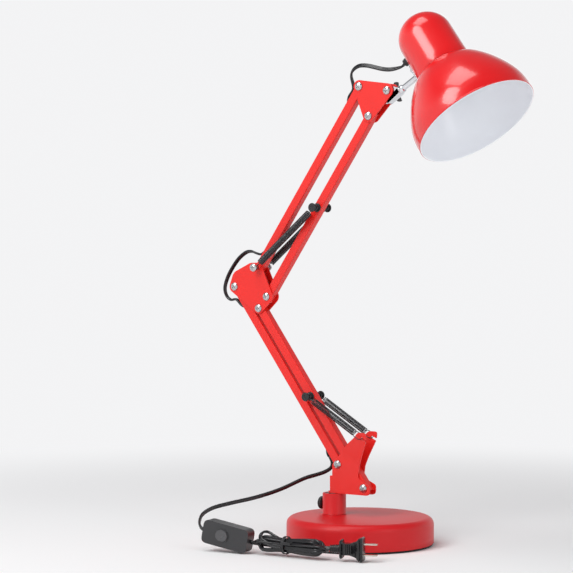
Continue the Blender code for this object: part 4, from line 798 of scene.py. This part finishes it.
outside = smooth_curve([Vector((r * MM, RIM + h * MM)) for h, r in bell_curve], 4)
wall = 0.0010
inside = []
for before, here, after in zip([outside[0]] + outside, outside, outside[1:] + [outside[-1]]):
    along = (after - before).normalized()
    inside.append(here - Vector((along.y, -along.x)) * wall)
collar_rise = [Vector((0.0345, NECK - 0.0018)), Vector((0.0341, NECK - 0.0005))]
rolled = [Vector(p) for p in arc(RIM_RADIUS - 0.0009, RIM + 0.0009, 0.0010, 60.0, -200.0, 12)]
skin = collar_rise[::-1] + outside[::-1] + rolled[:7]
bell = spun([tuple(p) for p in skin], 144)
hand_over("shade_bell_outside", bell, ENAMEL, "shade", ["shade_bell"], matrix=SHADE)
lining = rolled[6:] + inside + [Vector((0.0333, NECK - 0.0015)), Vector((0.0176, NECK - 0.0014))]
lining_mesh = spun([tuple(p) for p in lining], 144)
hand_over("shade_bell_lining", lining_mesh, WHITE_ENAMEL, "shade", matrix=SHADE)

dome_start = CAP_TOP - CAP_RADIUS + 0.0015
cap = [(CAP_RADIUS - 0.0004, NECK + 0.0004), (CAP_RADIUS + 0.0005, NECK),
       (CAP_RADIUS + 0.0007, NECK + 0.0008), (CAP_RADIUS + 0.0004, NECK + 0.010), (CAP_RADIUS, dome_start)]
cap += [(CAP_RADIUS * math.cos(a), dome_start + (CAP_TOP - dome_start) * math.sin(a))
        for a in [math.radians(90.0 * i / 24) for i in range(1, 24)]] + [(0.0, CAP_TOP)]
cap_inside = [(max(r - wall, 0.0), z - (wall if r < 0.02 else 0.0)) for r, z in cap[1:]]
cap_mesh = spun(cap, 112)
join(cap_mesh, spun(cap_inside, 112))
hand_over("shade_cap_drawn", cap_mesh, ENAMEL, "shade", ["shade_cap"], matrix=SHADE)

holder_low, holder_top = NECK - 0.0123, 0.0300
holder = spun([(0.0, holder_top), (0.0140, holder_top), (0.0170, holder_top - 0.005),
               (0.0170, NECK + 0.002), (0.0260, NECK + 0.0018), (0.0260, NECK),
               (0.0172, NECK), (0.0170, NECK - 0.001), (0.0170, holder_low + 0.0008),
               (0.0162, holder_low), (0.0142, holder_low), (0.0137, holder_low + 0.0006),
               (0.0137, holder_top - 0.008), (0.0, holder_top - 0.008)], 64)
hand_over("lampholder_moulded", holder, PORCELAIN, "shade", ["lampholder"], matrix=SHADE)
THREADS, shell_low, shell_high = 6, holder_low + 0.005, holder_top - 0.0105
shell = []
for step in range(THREADS * 8 + 1):
    share = step / (THREADS * 8)
    wave = 0.0005 * math.cos(2.0 * math.pi * THREADS * share)
    shell.append((0.0128 + wave, shell_low + (shell_high - shell_low) * share))
shell += [(r - 0.0005, z) for r, z in reversed(shell)]
hand_over("socket_shell_threaded", spun(shell, 56, closed=True), BRASS, "shade",
          ["socket_shell"], matrix=SHADE)

clamp_outline = rounded_corners([(-0.007, -0.009, 0.003), (0.007, -0.009, 0.003), (0.005, 0.019, 0.004),
                                 (-0.005, 0.019, 0.004)])
clamp = flat_piece(clamp_outline, [round_hole(0.0, 0.0, 0.0036)], 0.0, SHEET)
hand_over("rod_clamp_plate", clamp, CHROME, "shade", ["rod_clamp"], soften=0.0003,
          matrix=SHADE @ Matrix.Translation((-CAP_RADIUS - 0.0007, 0.0, 0.0))
          @ Matrix.Rotation(math.radians(90.0), 4, "Z"))
clamp_head = spun([(0.0, 0.0023), (0.0012, 0.0022), (0.0028, 0.0018), (0.0036, 0.0006), (0.0036, 0.0),
                   (0.0, 0.0)], 40)
hand_over("clamp_screw_head", clamp_head, ZINC, "shade", ["clamp_screw"],
          matrix=SHADE @ Matrix.Translation((-CAP_RADIUS - 0.0026, 0.0, 0.0125))
          @ frame_at((0, 0, 0), (-1, 0, 0)))
GROMMET_LEVEL = 0.0270
grommet = spun([(0.0034, -0.0035), (0.0042, -0.0035), (0.0042, 0.0003), (0.0056, 0.0004), (0.0058, 0.0010),
                (0.0052, 0.0016), (0.0046, 0.0062), (0.0042, 0.0066), (0.0034, 0.0064)], 36, closed=True)
hand_over("cord_grommet_moulded", grommet, BLACK_NYLON, "shade", ["cord_grommet"],
          matrix=SHADE @ Matrix.Translation((-CAP_RADIUS, 0.0, GROMMET_LEVEL))
          @ frame_at((0, 0, 0), (-1, 0, 0)))


# ---------------------------------------------------------------- flat twin cord
# Two vinyl-covered cores side by side, 5.6 by 2.9 mm.  It comes out of the cap, loops past the
# head and the elbow, runs inside the rear bars and leaves the arm just above the bracket.
CORD_BLACK = finish("cord_vinyl", (0.011, 0.011, 0.013), 0.8, 0.26, 0.1, 0.1, grain=500.0, patch=80.0)
CORD_WIDTH, CORD_THICK = 0.0056, 0.0029


def cord_section():
    """The outline of the two cores and the web between them, in X and Y."""
    core = CORD_THICK / 2.0
    shift = CORD_WIDTH / 2.0 - core
    right = arc(shift, 0.0, core, -125.0, 125.0, 9)
    left = arc(-shift, 0.0, core, 55.0, 305.0, 9)
    return right + left


def curve_through(points, spacing):
    """Even steps along a smooth curve through the route's points."""
    dense = smooth_curve(points, 24)
    travelled = [0.0]
    for a, b in zip(dense, dense[1:]):
        travelled.append(travelled[-1] + (b - a).length)
    count = max(2, round(travelled[-1] / spacing))
    route, index = [], 0
    for step in range(count + 1):
        wanted = travelled[-1] * step / count
        while index < len(dense) - 2 and travelled[index + 1] < wanted:
            index += 1
        share = (wanted - travelled[index]) / max(travelled[index + 1] - travelled[index], 1e-9)
        route.append(dense[index].lerp(dense[index + 1], min(1.0, share)))
    return route


def along_route(route, width):
    """A placing matrix at each point, whose X stays as near the cord's width as it can."""
    places = []
    for index, point in enumerate(route):
        ahead = route[min(index + 1, len(route) - 1)] - route[max(index - 1, 0)]
        ahead.normalize()
        width = (width - ahead * width.dot(ahead)).normalized()
        up = ahead.cross(width)
        turn = Matrix((width, up, ahead)).transposed().to_4x4()
        places.append(Matrix.Translation(point) @ turn)
    return places


def twisted(places, turns):
    """Roll the flat cord about its own line; turns gives (share of the route, degrees) pairs."""
    rolled = []
    for index, place in enumerate(places):
        share = index / (len(places) - 1)
        before = [turn for turn in turns if turn[0] <= share][-1]
        after = ([turn for turn in turns if turn[0] > share] or [before])[0]
        part = (share - before[0]) / max(after[0] - before[0], 1e-6)
        eased = part * part * (3.0 - 2.0 * part)
        angle = math.radians(before[1] + (after[1] - before[1]) * eased)
        rolled.append(place @ Matrix.Rotation(angle, 4, "Z"))
    return rolled


def twin_cord(name, places, body, replaced):
    """A length of cord skinned along its places."""
    bm = bmesh.new()
    ring = [bm.verts.new((x, y, 0.0)) for x, y in cord_section()]
    edges = [bm.edges.new(pair) for pair in zip(ring, ring[1:] + ring[:1])]
    bmesh.ops.contextual_create(bm, geom=edges)
    bmesh.ops.transform(bm, matrix=places[0], verts=ring)
    for before, after in zip(places, places[1:]):
        pulled = bmesh.ops.extrude_edge_only(bm, edges=edges)["geom"]
        ring = [part for part in pulled if isinstance(part, bmesh.types.BMVert)]
        edges = [part for part in pulled if isinstance(part, bmesh.types.BMEdge)
                 and part.verts[0] in ring and part.verts[1] in ring]
        bmesh.ops.transform(bm, matrix=after @ before.inverted(), verts=ring)
    bmesh.ops.contextual_create(bm, geom=edges)
    return hand_over(name, bm, CORD_BLACK, body, replaced, angle=60.0)


def routed(points, turns=((0.0, 0.0),)):
    """Places along a smooth route, starting with the cord's width across the arm."""
    return twisted(along_route(curve_through(points, 0.0022), Vector((0.0, 1.0, 0.0))), turns)


def lower(distance, offset):
    return LOWER_REAR + LOWER_DIR * distance + Vector((-LOWER_DIR.z, 0.0, LOWER_DIR.x)) * offset


def upper(distance, offset):
    return ELBOW_TOP + UPPER_DIR * distance + Vector((-UPPER_DIR.z, 0.0, UPPER_DIR.x)) * offset


OUT = BAR / 2.0 + CORD_WIDTH / 2.0 + 0.0003
INSIDE, LEVEL = SLOT_END + 0.005, SLOT_END - 0.003
twin_cord("lower_run_cord", routed([lower(0.016, OUT), lower(0.020, OUT), lower(0.030, 0.45 * OUT),
                                    lower(LEVEL, 0.0), lower(INSIDE, 0.0), lower(ARM / 2.0, 0.0),
                                    lower(ARM - INSIDE, 0.0)]), "lower_rear_bar", ["cord_lower_run"])
elbow_anchor = Vector((-0.1838, 0.0, 0.3128))
elbow_loop = [ELBOW_REAR + Vector((x, 0.0, z)) * MM - elbow_anchor for x, z in
              [(-186.1, 296.4), (-194.5, 295.6), (-201.5, 301.0), (-204.0, 312.0), (-197.5, 328.5),
               (-184.0, 346.5), (-171.5, 355.8), (-162.5, 357.4), (-154.5, 355.0)]]
elbow_start = [lower(ARM - INSIDE, 0.0), lower(ARM - LEVEL, 0.0), lower(ARM - 0.032, 0.4 * OUT),
               lower(ARM - 0.023, OUT)]
elbow_end = [upper(0.0145, OUT), upper(0.022, 0.62 * OUT), upper(0.031, 0.25 * OUT), upper(LEVEL, 0.0),
             upper(INSIDE, 0.0)]
whole_elbow = routed(elbow_start + elbow_loop + elbow_end,
                     [(0.0, 0.0), (0.3, 0.0), (0.5, -24.0), (0.66, -34.0), (0.8, 0.0), (1.0, 0.0)])


def split_places(places, near):
    """Cut a run of places in two at the one nearest a point."""
    cut = min(range(len(places)), key=lambda i: (places[i].translation - near).length)
    return places[:cut + 1], places[cut:]


first, second = split_places(whole_elbow, elbow_loop[4])
piece = twin_cord("elbow_loop_lower", first, None, [])
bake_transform(piece)
piece = twin_cord("elbow_loop_upper", second, None, ["cord_elbow_loop"])
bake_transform(piece)
upper_run = routed([upper(INSIDE, 0.0), upper(ARM / 2.0, 0.0), upper(ARM - INSIDE, 0.0)])
twin_cord("upper_run_cord", upper_run, "upper_rear_bar", ["cord_upper_run"])

head_start = [upper(ARM - INSIDE, 0.0), upper(ARM - LEVEL, 0.0), upper(ARM - 0.030, 0.45 * OUT),
              upper(ARM - 0.020, OUT), upper(ARM - 0.008, OUT + 0.0005)]
head_anchor = Vector((0.00236, 0.0, 0.55759))
head_loop = [HEAD_REAR + Vector((x, 0.0, z)) * MM - head_anchor for x, z in
             [(-13.0, 571.3), (-10.5, 578.5), (-2.0, 583.2), (9.3, 583.0), (20.7, 580.4), (32.0, 577.6),
              (43.3, 576.6)]]


def on_shade(x, z):
    return SHADE @ Vector((x, 0.0, z))


head_end = [on_shade(-CAP_RADIUS - 0.013, GROMMET_LEVEL), on_shade(-CAP_RADIUS - 0.006, GROMMET_LEVEL),
            on_shade(-CAP_RADIUS + 0.003, GROMMET_LEVEL)]
whole_head = routed(head_start + head_loop + head_end,
                    [(0.0, 0.0), (0.33, 0.0), (0.5, 62.0), (0.8, 62.0), (0.95, 0.0), (1.0, 0.0)])
first, rest = split_places(whole_head, head_loop[1])
second, third = split_places(rest, head_loop[5])
piece = twin_cord("head_loop_first", first, None, [])
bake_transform(piece)
piece = twin_cord("head_loop_second", second, None, [])
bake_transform(piece)
piece = twin_cord("head_loop_third", third, None, ["cord_head_loop"])
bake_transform(piece)


# ---------------------------------------------------------------- mains lead, switch, hank, plug
# The same cord goes on as the free lead: down off the arm, through the inline switch, ten runs
# of a hank under a twist tie, and into a moulded two-blade plug.
SWITCH_GREY = finish("grey_switch_plastic", (0.035, 0.035, 0.038), 0.85, 0.3, 0.08, 0.2, grain=1500.0)
ROCKER_GREY = finish("rocker_plastic", (0.085, 0.085, 0.09), 0.92, 0.28, 0.06, 0.1, grain=1500.0)
NICKEL = finish("nickel_blade", (0.66, 0.63, 0.56), 0.88, 0.25, 0.12, 0.06, patch=160.0, metallic=1.0)
SWITCH = Vector((0.060, 0.018, 0.028))
switch_turn = (Matrix.Rotation(math.radians(9.3), 4, "Z") @ Matrix.Rotation(math.radians(10.7), 4, "Y"))
corner = switch_turn @ Vector((SWITCH.x / 2.0, -SWITCH.y / 2.0, -SWITCH.z / 2.0))
switch_centre = Vector((-66.0, -149.8, 0.3)) * MM - corner
SWITCH_AT = Matrix.Translation(switch_centre) @ switch_turn
exit_point = lower(0.016, OUT) - LOWER_DIR * 0.0009
lead_route = [Vector(point) * MM for point in
              [(-42.0, 0.0, 100.7), (-40.3, -0.4, 96.2), (-40.9, -2.6, 90.6), (-45.0, -9.0, 86.2),
               (-52.0, -18.0, 82.8), (-62.1, -30.5, 78.6), (-81.4, -54.9, 66.2), (-100.6, -79.0, 57.7),
               (-119.6, -103.0, 52.1), (-133.0, -122.0, 47.2), (-138.8, -136.0, 40.2),
               (-135.6, -146.2, 31.6)]]
through_switch = [SWITCH_AT @ Vector((x, 0.0, 0.0)) for x in (-0.036, -0.030, 0.0, 0.028)]

hank_length = 0.104
hank_left = SWITCH_AT @ Vector((SWITCH.x / 2.0, 0.0, 0.0)) + Vector((0.0019, 0.0035, 0.0))
hank_left.z = 0.002
HANK_AT = Matrix.Translation(hank_left) @ Matrix.Rotation(math.radians(2.5), 4, "Z")
RUNS = 10
WINDING = 0.0088
HANK_MIDDLE = 0.0112
STAGGER = 0.0021
TIE_SHARE = 0.44
LOOSE_RUNS = (3, 4)


def run_angle(run):
    return 2.0 * math.pi * ((5 * run + run // 2) % RUNS) / RUNS - 0.4


def in_bundle(run, x, y, z):
    """Pinch a point towards the tie and let one loose fold rise out of the left end."""
    along = x / hank_length
    pinch = 1.0 - 0.24 * math.exp(-((along - TIE_SHARE) / 0.20) ** 2)
    rise = 0.0
    if run in LOOSE_RUNS and along < 0.38:
        rise = 0.0125 * ((0.38 - along) / 0.38) ** 1.5
    return Vector((x + 0.5 * rise, y * pinch, HANK_MIDDLE + z * pinch + rise))


def hank_points():
    """Runs that go to and fro round a ring of places, each fold a half turn across the middle."""
    points = []
    for run in range(RUNS):
        y, z = WINDING * math.cos(run_angle(run)), WINDING * math.sin(run_angle(run))
        left = 0.0125 + STAGGER * ((run + 1) // 2)
        right = hank_length - 0.0125 - STAGGER * (run // 2)
        ends = (left, right) if run % 2 == 0 else (right, left)
        for share in (0.0, 0.15, 0.3, 0.45, 0.6, 0.8, 1.0):
            x = ends[0] + (ends[1] - ends[0]) * share
            wave = 0.0006 * math.sin(7.0 * share + 2.1 * run)
            points.append(in_bundle(run, x, y + wave, z))
        if run < RUNS - 1:
            y2 = WINDING * math.cos(run_angle(run + 1))
            z2 = WINDING * math.sin(run_angle(run + 1))
            way = 1.0 if run % 2 == 0 else -1.0
            for turn in (30.0, 60.0, 90.0, 120.0, 150.0):
                t = (1.0 - math.cos(math.radians(turn))) / 2.0
                bulge = math.sin(math.radians(turn)) * WINDING
                points.append(in_bundle(run, ends[1] + way * bulge, y + (y2 - y) * t, z + (z2 - z) * t))
    return [HANK_AT @ point for point in points]


PLUG_TURN = Matrix.Rotation(math.radians(20.0), 4, "Z") @ Matrix.Rotation(math.radians(90.0), 4, "X")
plug_start = HANK_AT @ Vector((hank_length + 0.0013, 0.0, 0.0))
plug_start.z = 0.0143
PLUG_AT = Matrix.Translation(plug_start) @ PLUG_TURN
winding = hank_points()
to_plug = [PLUG_AT @ Vector((x, 0.0, 0.0)) for x in (-0.016, -0.008, 0.0, 0.004)]
free_points = [exit_point] + lead_route + through_switch
free_points += [SWITCH_AT @ Vector((0.0345, 0.0, 0.0))] + winding[1:-2] + to_plug
lead_places = routed(free_points)
lead = twin_cord("mains_lead", lead_places, None, ["lead_to_switch", "cord_hank"])
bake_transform(lead)


def case_half(side):
    """One half of the switch's case: a long box with full rounded ends in plan, softened."""
    half = SWITCH.y / 2.0
    outline = rounded_corners([(x * SWITCH.x / 2.0, z * SWITCH.z / 2.0, 0.007)
                               for x, z in ((1, 1), (-1, 1), (-1, -1), (1, -1))])
    low, high = (-half, -0.00012) if side < 0.0 else (0.00012, half)
    return flat_piece(outline, [], low, high)


rear_case = hand_over("switch_rear_half", case_half(1.0), SWITCH_GREY, "base",
                      ["switch_case_rear"], matrix=SWITCH_AT, soften=0.0016, steps=3)
front_case = case_half(-1.0)
rim = flat_piece(taut_outline([(-0.004 - 0.001, 0.0, 0.0080), (-0.004 + 0.001, 0.0, 0.0080)]), [],
                 -SWITCH.y / 2.0 - 0.0006, -SWITCH.y / 2.0 + 0.0002)
join(front_case, rim)
front_case = hand_over("switch_front_half", front_case, SWITCH_GREY, "base",
                       ["switch_case_front"], matrix=SWITCH_AT, soften=0.0004, steps=2)
rocker_outline = taut_outline([(-0.001, 0.0, 0.00665), (0.001, 0.0, 0.00665)])
rocker = flat_piece(rocker_outline, [], -0.0012, 0.0004)
for vert in rocker.verts:
    if vert.co.y < 0.0:
        vert.co.y -= 0.0006 * abs(vert.co.x) / 0.010
rocker_at = SWITCH_AT @ Matrix.Translation((-0.004, -SWITCH.y / 2.0 - 0.0004, 0.0))
rocker_piece = hand_over("switch_rocker_button", rocker, ROCKER_GREY, "rocker",
                         ["switch_rocker"], matrix=rocker_at, soften=0.0004)

def block(length, width, height):
    bm = bmesh.new()
    bmesh.ops.create_cube(bm, size=1.0)
    bmesh.ops.scale(bm, verts=bm.verts, vec=(length, width, height))
    return bm


tie = spun([(0.0100, -0.0019), (0.0106, -0.0019), (0.0108, -0.0012), (0.0104, -0.0003), (0.0104, 0.0003),
            (0.0108, 0.0012), (0.0106, 0.0019), (0.0100, 0.0019)], 40, closed=True)
for tilt in (-14.0, 10.0):
    tail = block(0.0034, 0.0007, 0.0130)
    bmesh.ops.translate(tail, verts=tail.verts, vec=(0.0, 0.0, 0.0068))
    tail_turn = Matrix.Rotation(math.radians(tilt), 4, "X")
    join(tie, tail, Matrix.Translation((-0.0035, -0.0104, 0.0)) @ tail_turn)
tie_at = HANK_AT @ Matrix.Translation((TIE_SHARE * hank_length, 0.0, HANK_MIDDLE))
tie_piece = hand_over("hank_twist_tie", tie, BLACK_NYLON, "base", ["hank_tie"],
                      soften=0.0002, matrix=tie_at @ frame_at((0, 0, 0), (1, 0, 0)))

relief = [(0.0, 0.0), (0.0034, 0.0)]
for ring in range(5):
    start, size = 0.0004 + 0.0024 * ring, 0.0042 + 0.00022 * ring
    relief += [(size, start), (size, start + 0.0013), (size - 0.0011, start + 0.0014),
               (size - 0.0011, start + 0.0023)]
relief = spun(relief + [(0.0050, 0.0140), (0.0, 0.0140)], 40)
# Distance from the middle, half height and half thickness of the grip, front last
grip_shape = [(-14.0, 10.6, 7.6), (-10.2, 11.4, 8.2), (-9.4, 11.0, 7.8), (-8.4, 8.6, 6.6), (-2.0, 8.6, 6.4),
              (4.0, 10.4, 7.4), (8.6, 13.2, 9.2), (10.0, 13.9, 9.9), (14.0, 14.0, 10.0)]
plug = block(0.028, 1.0, 1.0)
for x, _, _ in grip_shape[1:-1]:
    cut_across(plug, (x * MM, 0, 0), (1, 0, 0))
for vert in plug.verts:
    x, tall, thick = min(grip_shape, key=lambda shape: abs(shape[0] * MM - vert.co.x))
    vert.co.y *= 2.0 * tall * MM
    vert.co.z *= 2.0 * thick * MM
long_edges = [edge for edge in plug.edges if edge.calc_face_angle(0.0) > math.radians(60.0)]
bmesh.ops.bevel(plug, geom=long_edges, offset=0.0022, segments=3, profile=0.5, affect="EDGES", material=-1)
join(plug, relief, Matrix.Translation((-0.026, 0.0, 0.0)) @ frame_at((0, 0, 0), (1, 0, 0)))
for side in (-1.0, 1.0):
    for rib in range(4):
        grip = block(0.0010, 0.0110, 0.0009)
        join(plug, grip, Matrix.Translation((-0.0066 + 0.0022 * rib, 0.0, side * 0.0067)))
plug_piece = hand_over("plug_moulded", plug, CORD_BLACK, "base", ["plug_body"],
                       matrix=PLUG_AT @ Matrix.Translation((0.026, 0.0, 0.0)), angle=40.0)
for side, word in ((-1.0, "near"), (1.0, "far")):
    outline = rounded_corners([(0.0363, -0.00315, 0.0002), (0.0559, -0.00315, 0.0016),
                               (0.0559, 0.00315, 0.0016), (0.0363, 0.00315, 0.0002)])
    blade = flat_piece(outline, [round_hole(0.0522, 0.0, 0.0016)], -0.00075, 0.00075)
    hand_over("plug_blade_" + word + "_plated", blade, NICKEL, "base",
                            ["plug_blade_" + word], soften=0.0002,
                            matrix=PLUG_AT @ Matrix.Translation((0.0, side * 0.00635, 0.0)))


# ---------------------------------------------------------------- hidden and small parts
# The cast iron weight, the nut on its stud, the nylon sleeve in the tube and the brass contact in
# the socket are out of sight, so they keep their CAD shape and only take a material.
for node, material in (("base_weight", ZINC), ("base_stud_nut", ZINC), ("tube_sleeve", BLACK_NYLON),
                       ("centre_contact", BRASS)):
    kept = frame["nodes"][node]
    if not kept.data.materials:
        kept.data.materials.append(material)
    kept.material_slots[0].material = material
